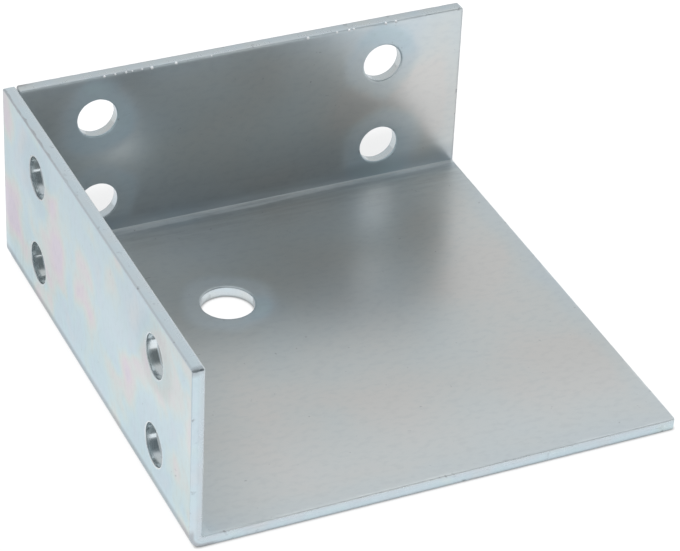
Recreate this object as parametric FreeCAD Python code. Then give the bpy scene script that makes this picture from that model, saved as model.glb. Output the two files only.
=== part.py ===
"""Bed corner bracket, folded from one sheet of zinc plated steel.

The base plate lies flat. A flange stands up along its left edge and another along its
back edge. The left flange runs the whole depth, and the back flange ends a hair's breadth
from its inner face, so an open seam runs down the corner where they meet.

Millimetres. X runs to the right along the back flange, Y from the front edge to the back
flange, and Z up. The origin is on the leg bolt hole's axis, at the underside of the base.
"""

import FreeCAD, Part
import math
import os

# Sheet and folds
sheet_thickness = 2.5
bend_inner_radius = 0.2
drawn_edge_round = 0.35
burr_edge_round = 0.15

# Outline, measured over the outer faces
base_width = 100.0
base_depth = 101.0
left_flange_height = 40.0
back_flange_height = 40.0
free_corner_radius = 0.6
seam_corner_radius = 0.5

# Corner where the two folds meet
seam_gap = 0.3
relief_diameter = 1.5

# Leg bolt hole in the base, a clearance hole for a 10 mm bolt
leg_hole_diameter = 11.0
leg_hole_from_left_face = 34.5
leg_hole_from_back_face = 34.75

# Screw holes, two rows in each flange, each hole placed from its nearest edges
screw_hole_diameter = 8.4
left_holes_from_front_edge = 18.25
left_holes_from_back_face = 19.75
left_low_row_height = 10.75
left_high_row_below_top = 9.25
back_holes_from_right_edge = 18.0
back_holes_from_left_face = 19.0
back_low_row_height = 10.25
back_high_row_below_top = 9.75

# Worked out from the sizes above
bend_outer_radius = bend_inner_radius + sheet_thickness
left_face = -leg_hole_from_left_face
right_edge = left_face + base_width
back_face = leg_hole_from_back_face
front_edge = back_face - base_depth
bend_end_left = left_face + bend_outer_radius
bend_end_back = back_face - bend_outer_radius
seam_right = left_face + sheet_thickness + seam_gap
relief_right = bend_end_left + relief_diameter
cutter_length = 2.0 * sheet_thickness

AXIS_X = FreeCAD.Vector(1, 0, 0)
AXIS_Y = FreeCAD.Vector(0, 1, 0)
AXIS_Z = FreeCAD.Vector(0, 0, 1)
SAME_PLACE = 1e-4


def box(low, high):
    """Solid box between two opposite corners."""
    size = [b - a for a, b in zip(low, high)]
    return Part.makeBox(*size, FreeCAD.Vector(*low))


def fold_section(height, place):
    """Section of an upright wall and its quarter bend, as one face shaped like a J.

    place turns a distance inwards from the outer face and a height into a point.
    """
    inner, outer, wall = bend_inner_radius, bend_outer_radius, sheet_thickness
    middle_share = 1.0 - math.sqrt(0.5)
    outer_middle = place(outer * middle_share, outer * middle_share)
    inner_middle = place(wall + inner * middle_share, wall + inner * middle_share)
    edges = [
        Part.LineSegment(place(0, outer), place(0, height)).toShape(),
        Part.LineSegment(place(0, height), place(wall, height)).toShape(),
        Part.LineSegment(place(wall, height), place(wall, outer)).toShape(),
        Part.Arc(place(wall, outer), inner_middle, place(outer, wall)).toShape(),
        Part.LineSegment(place(outer, wall), place(outer, 0)).toShape(),
        Part.Arc(place(outer, 0), outer_middle, place(0, outer)).toShape(),
    ]
    return Part.Face(Part.Wire(edges))


def corner_edge(shape, direction, point):
    """Straight edges of shape that lie on the line through point along direction."""
    found = []
    for edge in shape.Edges:
        start, end = edge.Vertexes[0].Point, edge.Vertexes[-1].Point
        along = (end - start).cross(direction).Length < SAME_PLACE
        offset = (start - point).cross(direction).Length < SAME_PLACE
        if along and offset and (end - start).Length > SAME_PLACE:
            found.append(edge)
    return found


def left_flange():
    """Left flange and its bend, over the whole depth, with both top corners rounded."""
    section = fold_section(
        left_flange_height,
        lambda inwards, up: FreeCAD.Vector(left_face + inwards, front_edge, up),
    )
    wall = section.extrude(AXIS_Y * base_depth)
    near_corner = FreeCAD.Vector(left_face, front_edge, left_flange_height)
    far_corner = FreeCAD.Vector(left_face, back_face, left_flange_height)
    wall = wall.makeFillet(free_corner_radius, corner_edge(wall, AXIS_X, near_corner))
    return wall.makeFillet(seam_corner_radius, corner_edge(wall, AXIS_X, far_corner))


def back_flange():
    """Back flange and its bend, from the relief to the right edge, and on to the seam."""
    section = fold_section(
        back_flange_height,
        lambda inwards, up: FreeCAD.Vector(relief_right, back_face - inwards, up),
    )
    wall = section.extrude(AXIS_X * (right_edge - relief_right))
    over_relief = box(
        (seam_right, back_face - sheet_thickness, bend_outer_radius),
        (relief_right, back_face, back_flange_height),
    )
    wall = wall.fuse(over_relief).removeSplitter()
    free_corner = FreeCAD.Vector(right_edge, back_face, back_flange_height)
    seam_corner = FreeCAD.Vector(seam_right, back_face, back_flange_height)
    wall = wall.makeFillet(free_corner_radius, corner_edge(wall, AXIS_Y, free_corner))
    return wall.makeFillet(seam_corner_radius, corner_edge(wall, AXIS_Y, seam_corner))


def base_plate():
    """Flat of the base between the bends, its free corner rounded.

    A round relief is cut where the two bends meet, as wide as the gap between their ends.
    """
    plate = box(
        (bend_end_left, front_edge, 0),
        (right_edge, bend_end_back, sheet_thickness),
    )
    free_corner = FreeCAD.Vector(right_edge, front_edge, 0)
    plate = plate.makeFillet(free_corner_radius, corner_edge(plate, AXIS_Z, free_corner))
    relief_radius = relief_diameter / 2.0
    relief_centre = FreeCAD.Vector(bend_end_left + relief_radius, bend_end_back, 0)
    return plate.cut(Part.makeCylinder(relief_radius, sheet_thickness, relief_centre))


def hole_cutter(diameter, centre, axis):
    """Round cutter that passes through the sheet, centred on a point halfway through it."""
    start = centre - axis * (cutter_length / 2.0)
    return Part.makeCylinder(diameter / 2.0, cutter_length, start, axis)


def left_hole_centres():
    """Centres of the left flange's screw holes, halfway through the sheet."""
    x = left_face + sheet_thickness / 2.0
    columns = (front_edge + left_holes_from_front_edge, back_face - left_holes_from_back_face)
    rows = (left_low_row_height, left_flange_height - left_high_row_below_top)
    return [FreeCAD.Vector(x, y, z) for y in columns for z in rows]


def back_hole_centres():
    """Centres of the back flange's screw holes, halfway through the sheet."""
    y = back_face - sheet_thickness / 2.0
    columns = (left_face + back_holes_from_left_face, right_edge - back_holes_from_right_edge)
    rows = (back_low_row_height, back_flange_height - back_high_row_below_top)
    return [FreeCAD.Vector(x, y, z) for x in columns for z in rows]


def cut_holes(sheet):
    """Sheet with the leg bolt hole and all screw holes cut through it."""
    leg_centre = FreeCAD.Vector(0, 0, sheet_thickness / 2.0)
    cutters = [hole_cutter(leg_hole_diameter, leg_centre, AXIS_Z)]
    cutters += [hole_cutter(screw_hole_diameter, c, AXIS_X) for c in left_hole_centres()]
    cutters += [hole_cutter(screw_hole_diameter, c, AXIS_Y) for c in back_hole_centres()]
    return sheet.cut(cutters)


def on_inner_skin(point):
    """Whether a point of the sheet's surface lies on the skin inside the corner."""
    above_base = point.z > sheet_thickness - SAME_PLACE
    right_of_flange = point.x > left_face + sheet_thickness - SAME_PLACE
    before_flange = point.y < back_face - sheet_thickness + SAME_PLACE
    return above_base and right_of_flange and before_flange


def on_outer_skin(point):
    """Whether a point lies on the underside or on a flange's outer face."""
    under_base = point.z < SAME_PLACE
    return under_base or point.x < left_face + SAME_PLACE or point.y > back_face - SAME_PLACE


def rim_edges(sheet, on_skin):
    """Circular edges of the holes on one of the two skins, told by a test of a point."""
    radii = (leg_hole_diameter / 2.0, screw_hole_diameter / 2.0)
    rims = []
    for edge in sheet.Edges:
        round_edge = isinstance(edge.Curve, Part.Circle) and edge.isClosed()
        if round_edge and any(abs(edge.Curve.Radius - r) < SAME_PLACE for r in radii):
            if on_skin(edge.Vertexes[0].Point):
                rims.append(edge)
    return rims


def outline_edge(sheet, height):
    """Front edge of the base at a height.

    It runs on smoothly round the corners and bends to the whole outline of its skin.
    """
    return corner_edge(sheet, AXIS_X, FreeCAD.Vector(0, front_edge, height))


def corner_bracket():
    """The folded sheet with its holes, and its cut edges rounded.

    The punch draws the inner skin down at a cut edge, and leaves the outer one sharper.
    """
    sheet = left_flange().fuse([back_flange(), base_plate()]).removeSplitter()
    sheet = cut_holes(sheet)
    sheet = sheet.makeFillet(drawn_edge_round, rim_edges(sheet, on_inner_skin))
    sheet = sheet.makeFillet(burr_edge_round, rim_edges(sheet, on_outer_skin))
    sheet = sheet.makeFillet(drawn_edge_round, outline_edge(sheet, sheet_thickness))
    return sheet.makeFillet(burr_edge_round, outline_edge(sheet, 0))


os.makedirs("parts", exist_ok=True)
bracket = corner_bracket()
bracket.exportStep("parts/corner_bracket.step")
print("corner_bracket", "solids", len(bracket.Solids), "volume", round(bracket.Volume, 1))
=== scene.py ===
"""Bed corner bracket, folded from zinc plated sheet steel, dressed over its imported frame.

The bracket and its finishes are sized in millimetres, as on the drawing of a sheet metal
part, and the meshes, the noises and the studio in metres. The bracket is laid out as a flat
blank and folded in the mesh: a point of the blank has a place (u, v) on the sheet and a
depth from the outer skin to the inner skin.
"""

import logging
import math
from dataclasses import dataclass
from enum import Enum

import bpy
import numpy as np
from mathutils import Matrix, Vector


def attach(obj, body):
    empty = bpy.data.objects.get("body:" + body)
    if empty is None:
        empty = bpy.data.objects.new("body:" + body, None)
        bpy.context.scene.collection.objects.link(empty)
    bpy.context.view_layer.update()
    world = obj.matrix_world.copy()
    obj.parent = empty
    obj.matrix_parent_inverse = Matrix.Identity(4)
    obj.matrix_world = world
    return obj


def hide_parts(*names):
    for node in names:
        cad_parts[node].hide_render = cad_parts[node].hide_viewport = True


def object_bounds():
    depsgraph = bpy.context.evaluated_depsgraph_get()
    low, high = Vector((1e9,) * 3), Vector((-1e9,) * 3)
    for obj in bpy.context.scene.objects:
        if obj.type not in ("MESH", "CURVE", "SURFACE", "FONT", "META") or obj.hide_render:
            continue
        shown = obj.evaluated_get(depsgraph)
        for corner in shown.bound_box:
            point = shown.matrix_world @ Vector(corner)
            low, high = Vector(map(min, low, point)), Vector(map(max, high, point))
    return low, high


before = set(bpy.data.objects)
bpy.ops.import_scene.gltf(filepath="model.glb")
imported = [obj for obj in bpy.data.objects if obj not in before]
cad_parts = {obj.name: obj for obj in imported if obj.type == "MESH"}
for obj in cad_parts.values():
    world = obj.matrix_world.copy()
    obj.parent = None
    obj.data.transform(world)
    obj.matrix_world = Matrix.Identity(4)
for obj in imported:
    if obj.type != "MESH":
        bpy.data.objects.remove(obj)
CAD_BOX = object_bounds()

MM = 0.001
QUARTER = math.pi / 2.0

# A tolerance in millimetres, and the decimals to which places are rounded to merge points
NEAR = 0.01
MERGE_DIGITS = 5

# A soft step: where it starts, where it ends and, unless it runs from 0 to 1, its two values
Ramp = tuple[float, ...]
Array = np.ndarray
Socket = bpy.types.NodeSocket
log = logging.getLogger("bracket")


class Dress(Enum):
    """The finish that a face of the sheet wears, by its number in the mesh."""

    SKIN = 0
    CUT = 1


class Fold(Enum):
    """The bend that a part of the blank goes through."""

    LEFT = 0
    BACK = 1


class Wall(Enum):
    """A flat part of the bracket. A place on it is (x, y) on the base, and along and up a wall."""

    BASE = 0
    LEFT = 1
    BACK = 2


@dataclass(frozen=True)
class Run:
    """Grid lines in one direction, with the stops at which one grid ends and the next starts.

    Attributes:
        stops: places of the stops, in order.
        gaps: number of gaps between each stop and the next.
    """

    stops: tuple[float, ...]
    gaps: tuple[int, ...]

    def cells(self) -> list[Array]:
        """The lines of each grid, evenly spaced between its two stops."""
        return [np.linspace(a, b, n + 1) for a, b, n in zip(self.stops, self.stops[1:], self.gaps)]


def new_mesh(name: str, points: Array, quads: Array) -> bpy.types.Mesh:
    """Makes a smooth shaded mesh from whole arrays.

    Args:
        name: name of the mesh.
        points: places in metres, one in each row.
        quads: four point numbers of each face, turning left as seen from outside.

    Returns:
        The new mesh.
    """
    mesh = bpy.data.meshes.new(name)
    mesh.vertices.add(len(points))
    mesh.vertices.foreach_set("co", points.astype(np.float32).ravel())
    mesh.loops.add(quads.size)
    mesh.loops.foreach_set("vertex_index", quads.astype(np.int32).ravel())
    mesh.polygons.add(len(quads))
    mesh.polygons.foreach_set("loop_start", np.arange(0, quads.size, 4, dtype=np.int32))
    mesh.update(calc_edges=True)
    mesh.shade_smooth()
    return mesh


def new_piece(name: str, mesh: bpy.types.Mesh) -> bpy.types.Object:
    """Puts the mesh in the scene as a piece of its own and reports it.

    Args:
        name: name of the piece.
        mesh: its mesh.

    Returns:
        The new piece.
    """
    piece = bpy.data.objects.new(name, mesh)
    bpy.context.scene.collection.objects.link(piece)
    log.info("%s: %d points, %d faces", name, len(mesh.vertices), len(mesh.polygons))
    return piece


def plain_patch(us: Array, vs: Array) -> Array:
    """Grid point (i, j) is (us[i], vs[j])."""
    return np.stack(np.meshgrid(us, vs, indexing="ij"), axis=-1)


def ruled_patch(first: Array, last: Array, shares: Array) -> Array:
    """Grid point (i, j) lies on the straight line from first[i] to last[i], shares[j] along it."""
    t = shares[None, :, None]
    return first[:, None] * (1.0 - t) + last[:, None] * t


def arc_points(centre: tuple, radius: float, start: float, end: float, count: int) -> Array:
    """Points at even angles on a circle: the centre plus radius times (cos a, sin a).

    Args:
        centre: centre of the circle in the blank.
        radius: radius of the circle.
        start: first angle, in radians.
        end: last angle, in radians.
        count: number of gaps between the points.

    Returns:
        The points, one in each row.
    """
    a = np.linspace(start, end, count + 1)
    return np.stack([centre[0] + radius * np.cos(a), centre[1] + radius * np.sin(a)], axis=-1)


def segment(start: tuple, end: tuple, count: int) -> Array:
    """Points at even steps on the straight line from start to end."""
    t = np.linspace(0.0, 1.0, count + 1)[:, None]
    return np.asarray(start) * (1.0 - t) + np.asarray(end) * t


def box_sides(us: Array, vs: Array) -> list[Array]:
    """The four sides of a rectangle, turning left from its lower side.

    Args:
        us: lines across.
        vs: lines up.

    Returns:
        The sides, each a row of points.
    """
    return [
        np.stack([us, np.full(len(us), vs[0])], axis=-1),
        np.stack([np.full(len(vs), us[-1]), vs], axis=-1),
        np.stack([us[::-1], np.full(len(us), vs[-1])], axis=-1),
        np.stack([np.full(len(vs), us[0]), vs[::-1]], axis=-1),
    ]


def coons_patch(bottom: Array, top: Array, left: Array,
                right: Array) -> Array:
    """Grid that fills four border curves.

    Each point is the mean along i of left and right, plus the mean along j of bottom and
    top, less the mean of the four corners, with the grid's shares as weights.

    Args:
        bottom: curve at j = 0, in the order of i.
        top: curve at the last j, in the order of i.
        left: curve at i = 0, in the order of j.
        right: curve at the last i, in the order of j.

    Returns:
        The grid of points, indexed (i, j).
    """
    s = np.linspace(0.0, 1.0, len(bottom))[:, None, None]
    t = np.linspace(0.0, 1.0, len(left))[None, :, None]
    across = (1.0 - s) * left[None] + s * right[None]
    along = (1.0 - t) * bottom[:, None] + t * top[:, None]
    corners = ((1.0 - s) * (1.0 - t) * bottom[0] + s * (1.0 - t) * bottom[-1]
               + (1.0 - s) * t * top[0] + s * t * top[-1])
    return across + along - corners


def round_corner_patch(us: Array, vs: Array, radius: float, steps: int) -> Array:
    """Grid over a rectangle whose corner at (us[-1], vs[-1]) is rounded.

    The two sides that meet there run straight to the arc and then along half of it each.

    Args:
        us: lines across, the last of them on the rounded corner's side.
        vs: lines up, the last of them on the rounded corner's side.
        radius: radius of the arc.
        steps: gaps that each half of the arc takes.

    Returns:
        The grid of points, indexed (i, j).
    """
    way_u, way_v = np.sign(us[-1] - us[0]), np.sign(vs[-1] - vs[0])
    centre = np.array([us[-1] - way_u * radius, vs[-1] - way_v * radius])
    a = np.linspace(0.0, QUARTER / 2.0, steps + 1)[:, None]
    to_top = centre + radius * np.hstack([way_u * np.sin(a), way_v * np.cos(a)])
    to_side = centre + radius * np.hstack([way_u * np.cos(a), way_v * np.sin(a)])
    top = segment((us[0], vs[-1]), tuple(to_top[0]), len(us) - 1 - steps)
    side = segment((us[-1], vs[0]), tuple(to_side[0]), len(vs) - 1 - steps)
    sides = box_sides(us, vs)
    return coons_patch(sides[0], np.vstack([top, to_top[1:]]), sides[3][::-1],
                       np.vstack([side, to_side[1:]]))


def hole_patches(us: Array, vs: Array, centre: tuple, radius: float,
                 shares: Array) -> list[Array]:
    """Four grids between a round hole and the rectangle about it.

    Each is ruled from a part of the circle to the rectangle's side that faces it.

    Args:
        us: lines across the rectangle.
        vs: lines up the rectangle.
        centre: centre of the hole.
        radius: radius of the hole.
        shares: places of the rings, from 0 at the hole to 1 at the rectangle.

    Returns:
        The four grids.
    """
    patches = []
    for side in box_sides(us, vs):
        way = side - np.asarray(centre)
        turn = np.unwrap(np.arctan2(way[:, 1], way[:, 0]))
        arc = arc_points(centre, radius, turn[0], turn[-1], len(side) - 1)
        patches.append(ruled_patch(arc, side, shares))
    return patches


def grid_quads(rows: int, columns: int) -> Array:
    """Faces of a grid: each joins points (i, j), (i + 1, j), (i + 1, j + 1) and (i, j + 1).

    Args:
        rows: number of points along i.
        columns: number of points along j.

    Returns:
        Four point numbers of each face.
    """
    number = np.arange(rows * columns).reshape(rows, columns)
    corners = [number[:-1, :-1], number[1:, :-1], number[1:, 1:], number[:-1, 1:]]
    return np.stack(corners, axis=-1).reshape(-1, 4)


def merged(points: Array, quads: Array) -> tuple[Array, Array]:
    """Makes one point of those that agree to MERGE_DIGITS behind the point.

    Args:
        points: places, one in each row.
        quads: faces on them.

    Returns:
        The numbers of the points that are kept, and the faces on the kept points.
    """
    _, kept, where = np.unique(np.round(points, MERGE_DIGITS), axis=0, return_index=True,
                               return_inverse=True)
    return kept, where.reshape(-1)[quads]


def cube_ball(gaps: int) -> tuple[Array, Array]:
    """Unit ball whose faces are the six sides of a cube, pushed out to length one.

    Args:
        gaps: gaps along each side of the cube.

    Returns:
        The points and the quads, which turn left as seen from outside.
    """
    steps = np.tan(np.linspace(-0.5, 0.5, gaps + 1) * QUARTER)
    face = np.concatenate([plain_patch(steps, steps), np.ones((gaps + 1, gaps + 1, 1))], axis=-1)
    sides = [np.roll(face, k, axis=-1) for k in range(3)]
    sides += [-side[::-1] for side in sides]
    points = np.vstack([side.reshape(-1, 3) for side in sides])
    quad = grid_quads(gaps + 1, gaps + 1)
    kept, quads = merged(points, np.vstack([quad + k * (gaps + 1) ** 2 for k in range(6)]))
    points = points[kept]
    a, b, c = (points[quads[:, k]] for k in (0, 1, 2))
    inward = (np.cross(b - a, c - a) * a).sum(axis=1) < 0.0
    quads[inward] = quads[inward][:, ::-1]
    return points / np.linalg.norm(points, axis=1, keepdims=True), quads


@dataclass
class Blank:
    """Flat blank of the bracket: one skin's points and faces before folding.

    Attributes:
        points: places on the blank, one in each row.
        folds: value of the Fold that each point goes through.
        quads: four point numbers of each face, turning left.
    """

    points: Array
    folds: Array
    quads: Array

    @classmethod
    def joined(cls, patches: list[tuple[Array, Fold]]) -> "Blank":
        """Joins the patches where their points agree.

        Args:
            patches: each patch's grid of points with the bend that it goes through.

        Returns:
            The joined blank, with every face turning left.
        """
        points, folds, quads, start = [], [], [], 0
        for grid, fold in patches:
            rows, columns = grid.shape[:2]
            points.append(grid.reshape(-1, 2))
            folds.append(np.full(rows * columns, fold.value))
            quads.append(grid_quads(rows, columns) + start)
            start += rows * columns
        points = np.vstack(points)
        kept, quads = merged(points, np.vstack(quads))
        points, folds = points[kept], np.concatenate(folds)[kept]
        a, b, c = (points[quads[:, k]] for k in (0, 1, 2))
        ab, ac = b - a, c - a
        turned = ab[:, 0] * ac[:, 1] - ab[:, 1] * ac[:, 0] < 0.0
        quads[turned] = quads[turned][:, ::-1]
        return cls(points, folds, quads)

    def border(self) -> tuple[Array, Array, Array]:
        """Free edges of the blank, with the way out of the sheet at each of their points.

        An edge that no face runs along the other way is free. Its way out is its direction
        turned right. A point's way out is the sum of its two edges' ways, over one plus
        their product, so that an outline set off by it keeps parallel to the edges.

        Returns:
            The edges as pairs of point numbers, the border points' numbers, and their ways out.
        """
        edges = np.vstack([self.quads[:, [k, (k + 1) % 4]] for k in range(4)])
        size = len(self.points)
        key, reverse = edges[:, 0] * size + edges[:, 1], edges[:, 1] * size + edges[:, 0]
        edges = edges[~np.isin(key, reverse)]
        along = self.points[edges[:, 1]] - self.points[edges[:, 0]]
        out = np.stack([along[:, 1], -along[:, 0]], axis=-1)
        out /= np.linalg.norm(out, axis=1, keepdims=True)
        after, before = np.zeros((size, 2)), np.zeros((size, 2))
        after[edges[:, 0]], before[edges[:, 1]] = out, out
        rim = np.unique(edges)
        total = after[rim] + before[rim]
        product = (after[rim] * before[rim]).sum(axis=1, keepdims=True)
        return edges, rim, total / (1.0 + product)


@dataclass(frozen=True)
class Spot:
    """Soft spot of the plating, where its film is thicker, where painted shade darkens the zinc,
    or where the zinc is frostier.

    Attributes:
        wall: the part of the bracket that it lies on.
        along: its middle across the base, or along a wall.
        up: its middle up the base or the wall.
        reach: distance over which it fades.
        strength: how much thicker the film is, or how much darker the painted shade makes the
            zinc.
        Below nought the film is thinner, or the zinc frostier.
        inner: True on the skin inside the corner.
    """

    wall: Wall
    along: float
    up: float
    reach: float
    strength: float
    inner: bool = False


FILM_SPOTS = (
    Spot(Wall.LEFT, 27.5, 21.0, 5.0, 0.34),
    Spot(Wall.LEFT, 29.5, 11.0, 4.5, 0.36),
    Spot(Wall.LEFT, 31.0, 33.0, 4.0, 0.28),
    Spot(Wall.LEFT, 2.5, 19.5, 4.0, 0.28),
    Spot(Wall.LEFT, -8.0, 21.0, 4.5, 0.22),
    Spot(Wall.LEFT, -34.5, 15.0, 4.5, 0.34),
    Spot(Wall.LEFT, -35.5, 8.0, 4.0, 0.24),
    Spot(Wall.LEFT, -58.5, 12.5, 5.5, 0.42),
    Spot(Wall.LEFT, -61.0, 26.0, 4.5, -0.16),
    Spot(Wall.LEFT, -25.0, 29.0, 6.0, 0.16),
    Spot(Wall.BASE, 6.5, -4.0, 4.5, 0.22, inner=True),
    Spot(Wall.BASE, 0.0, 22.0, 14.0, 0.18, inner=True),
    Spot(Wall.BASE, 38.0, 20.0, 9.0, 0.20, inner=True),
    Spot(Wall.BACK, -9.0, 28.0, 12.0, 0.20, inner=True),
    Spot(Wall.BACK, 47.5, 10.0, 7.0, 0.20, inner=True),
    Spot(Wall.BACK, 55.0, 34.0, 6.0, 0.20, inner=True),
    Spot(Wall.BACK, 61.0, 20.0, 13.0, -0.22, inner=True),
    Spot(Wall.BACK, 41.0, 20.0, 7.0, -0.22, inner=True),
    Spot(Wall.BASE, 60.0, -44.0, 16.0, -0.24, inner=True),
    Spot(Wall.BASE, 50.0, -8.0, 15.0, -0.16, inner=True),
    Spot(Wall.BASE, 10.0, -50.0, 26.0, -0.10, inner=True),
)
# Painted shade: soft dark spots where the mirrored surroundings look darker. Spots below nought
# make the zinc frostier instead.
SHADE_AND_FROST_SPOTS = (
    Spot(Wall.BASE, 24.0, -8.0, 15.0, 0.30, inner=True),
    Spot(Wall.BASE, 46.0, 23.0, 8.0, 0.20, inner=True),
    Spot(Wall.BACK, -25.0, 33.0, 9.0, 0.26, inner=True),
    Spot(Wall.BACK, -9.0, 39.0, 6.0, 0.24, inner=True),
    Spot(Wall.BACK, 20.0, 37.0, 10.0, 0.14, inner=True),
    Spot(Wall.LEFT, -35.0, 29.0, 9.0, 0.08),
    Spot(Wall.BASE, -12.0, 19.0, 17.0, -0.26, inner=True),
    Spot(Wall.BASE, 58.0, 22.0, 9.0, -0.12, inner=True),
    Spot(Wall.BACK, 57.0, 6.0, 7.0, -0.26, inner=True),
    Spot(Wall.BACK, 62.0, 15.0, 7.0, -0.20, inner=True),
    Spot(Wall.BACK, 12.0, 24.0, 12.0, -0.06, inner=True),
    Spot(Wall.LEFT, -58.0, 22.0, 9.0, 0.09),
)


@dataclass
class Shell:
    """Closed surface of the sheet before it is folded.

    Attributes:
        points: places on the blank, one in each row.
        folds: value of the Fold that each point goes through.
        depth: distance of each point from the outer skin.
        edge_way: distance of each point from the nearest outer cut edge.
        quads: four point numbers of each face.
        dress: value of the Dress that each face wears.
    """

    points: Array
    folds: Array
    depth: Array
    edge_way: Array
    quads: Array
    dress: Array


@dataclass(frozen=True)
class CornerBracket:
    """The folded bracket: its sizes, its blank and its mesh.

    The places are in the part's own frame, whose origin is on the leg bolt hole's axis at
    the underside of the base. An outline that a face ends on is set in by edge_round, and
    the sheared edge goes on from there. The gaps are counts between the grids' stops.

    Attributes:
        left_face: place of the left wall's outer face.
        right_edge: place of the right edge.
        front_edge: place of the front edge.
        back_face: place of the back wall's outer face.
        height: height of both walls.
        thickness: thickness of the sheet.
        bend_radius: outer radius of both bends.
        edge_round: rounding of the edges where the punch drew the inner skin down.
        burr_round: rounding of the edges at the outer skin.
        break_depth: distance from the outer skin at which the broken band starts.
        break_slope: how far the broken band leans in.
        wander: how far the shears wandered in at most.
        waves: rate and shift of each sine of that wander.
        wave_way: direction over the blank that the sines run in.
        free_corner: rounding of the free corners.
        seam_corner: rounding of the corners at the seam.
        seam_gap: gap between the back wall and the left wall.
        relief: radius of the notch where the bends meet.
        leg_hole: radius of the leg bolt's hole.
        screw_hole: radius of the screws' holes.
        left_margins: left wall's hole centres, from the front edge and from the back face.
        left_heights: the same from the underside and from the top.
        back_margins: back wall's hole centres, from the left face and from the right edge.
        back_heights: the same from the underside and from the top.
        hole_frame: half the side of the square of grids about a screw's hole.
        leg_frame: the same about the leg bolt's hole.
        relief_frame: width of the grids about the relief.
        ring_gaps: gaps from a hole's rim to the square about it.
        ring_power: how much closer together the rings are near the rim.
        gaps_up: gaps from the front edge to the back bend.
        gaps_across: gaps from the relief to the right edge.
        gaps_out: gaps from the left wall's top to its bend's start.
        gaps_over: gaps from the back bend's start to the back wall's top.
        gaps_end: gaps past the back bend's start on the left wall, and beside the seam.
        profile_gaps: gaps of a cut edge's drawn round, bright band, broken band and burr.
        corner_gaps: gaps of half an arc, at the base's, the walls' and the seam's corners.
        film_spots: where the film is thicker or thinner.
        shade_and_frost_spots: where painted shade darkens the zinc, or where the zinc is frostier.
    """

    left_face: float
    right_edge: float
    front_edge: float
    back_face: float
    height: float
    thickness: float = 2.5
    bend_radius: float = 2.7
    edge_round: float = 0.35
    burr_round: float = 0.15
    break_depth: float = 1.45
    break_slope: float = 0.06
    wander: float = 0.06
    waves: tuple[tuple[float, float], ...] = ((1.9, 0.0), (3.7, 1.3), (0.71, 0.4))
    wave_way: tuple[float, float] = (1.0, 0.83)
    free_corner: float = 0.6
    seam_corner: float = 0.5
    seam_gap: float = 0.3
    relief: float = 0.75
    leg_hole: float = 5.5
    screw_hole: float = 4.2
    left_margins: tuple[float, float] = (18.25, 19.75)
    left_heights: tuple[float, float] = (10.75, 9.25)
    back_margins: tuple[float, float] = (19.0, 18.0)
    back_heights: tuple[float, float] = (10.25, 9.75)
    hole_frame: float = 6.0
    leg_frame: float = 8.75
    relief_frame: float = 1.25
    ring_gaps: int = 6
    ring_power: float = 1.35
    gaps_up: tuple[int, ...] = (14, 16, 34, 24, 16, 9, 8)
    gaps_across: tuple[int, ...] = (10, 8, 16, 24, 34, 16, 12)
    gaps_out: tuple[int, ...] = (7, 16, 8, 16, 2, 10)
    gaps_over: tuple[int, ...] = (16, 1, 1, 16, 9, 16, 7)
    gaps_end: int = 7
    profile_gaps: tuple[int, int, int, int] = (7, 2, 4, 4)
    corner_gaps: tuple[int, int, int] = (6, 4, 3)
    film_spots: tuple[Spot, ...] = FILM_SPOTS
    shade_and_frost_spots: tuple[Spot, ...] = SHADE_AND_FROST_SPOTS

    @classmethod
    def in_box(cls, box: tuple) -> "CornerBracket":
        """Bracket whose outer faces are a box's sides, to the nearest thousandth.

        Args:
            box: two opposite corners of the box, in metres.

        Returns:
            The bracket.
        """
        (left, front, _), (right, back, top) = (
            [round(side / MM, 3) for side in corner] for corner in box)
        return cls(left, right, front, back, top)

    @property
    def left_columns(self) -> tuple[float, float]:
        """Places along the left wall of its two columns of holes."""
        return self.front_edge + self.left_margins[0], self.back_face - self.left_margins[1]

    @property
    def left_rows(self) -> tuple[float, float]:
        """Heights of the left wall's two rows of holes."""
        return self.left_heights[0], self.height - self.left_heights[1]

    @property
    def back_columns(self) -> tuple[float, float]:
        """Places along the back wall of its two columns of holes."""
        return self.left_face + self.back_margins[0], self.right_edge - self.back_margins[1]

    @property
    def back_rows(self) -> tuple[float, float]:
        """Heights of the back wall's two rows of holes."""
        return self.back_heights[0], self.height - self.back_heights[1]

    @property
    def left_bend(self) -> float:
        """Where the flat of the base ends and the left bend starts."""
        return self.left_face + self.bend_radius

    @property
    def back_bend(self) -> float:
        """Where the flat of the base ends and the back bend starts."""
        return self.back_face - self.bend_radius

    @property
    def relief_ring(self) -> float:
        """Radius of the outline that the base's skins end on about the round relief."""
        return self.relief + self.edge_round

    @property
    def relief_left(self) -> float:
        """Left side of the grids about the relief."""
        return self.left_bend - self.edge_round - self.relief_frame

    @property
    def relief_right(self) -> float:
        """Where the back bend's skins start, beside the relief."""
        return self.left_bend + self.relief + self.relief_ring

    @property
    def relief_front(self) -> float:
        """Front side of the grids about the relief."""
        return self.back_bend - self.relief_ring - self.relief_frame

    def wall(self, height: float) -> float:
        """Way over the outer skin from a bend's start up to a height on the wall."""
        return self.bend_radius * QUARTER + height - self.bend_radius

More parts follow.
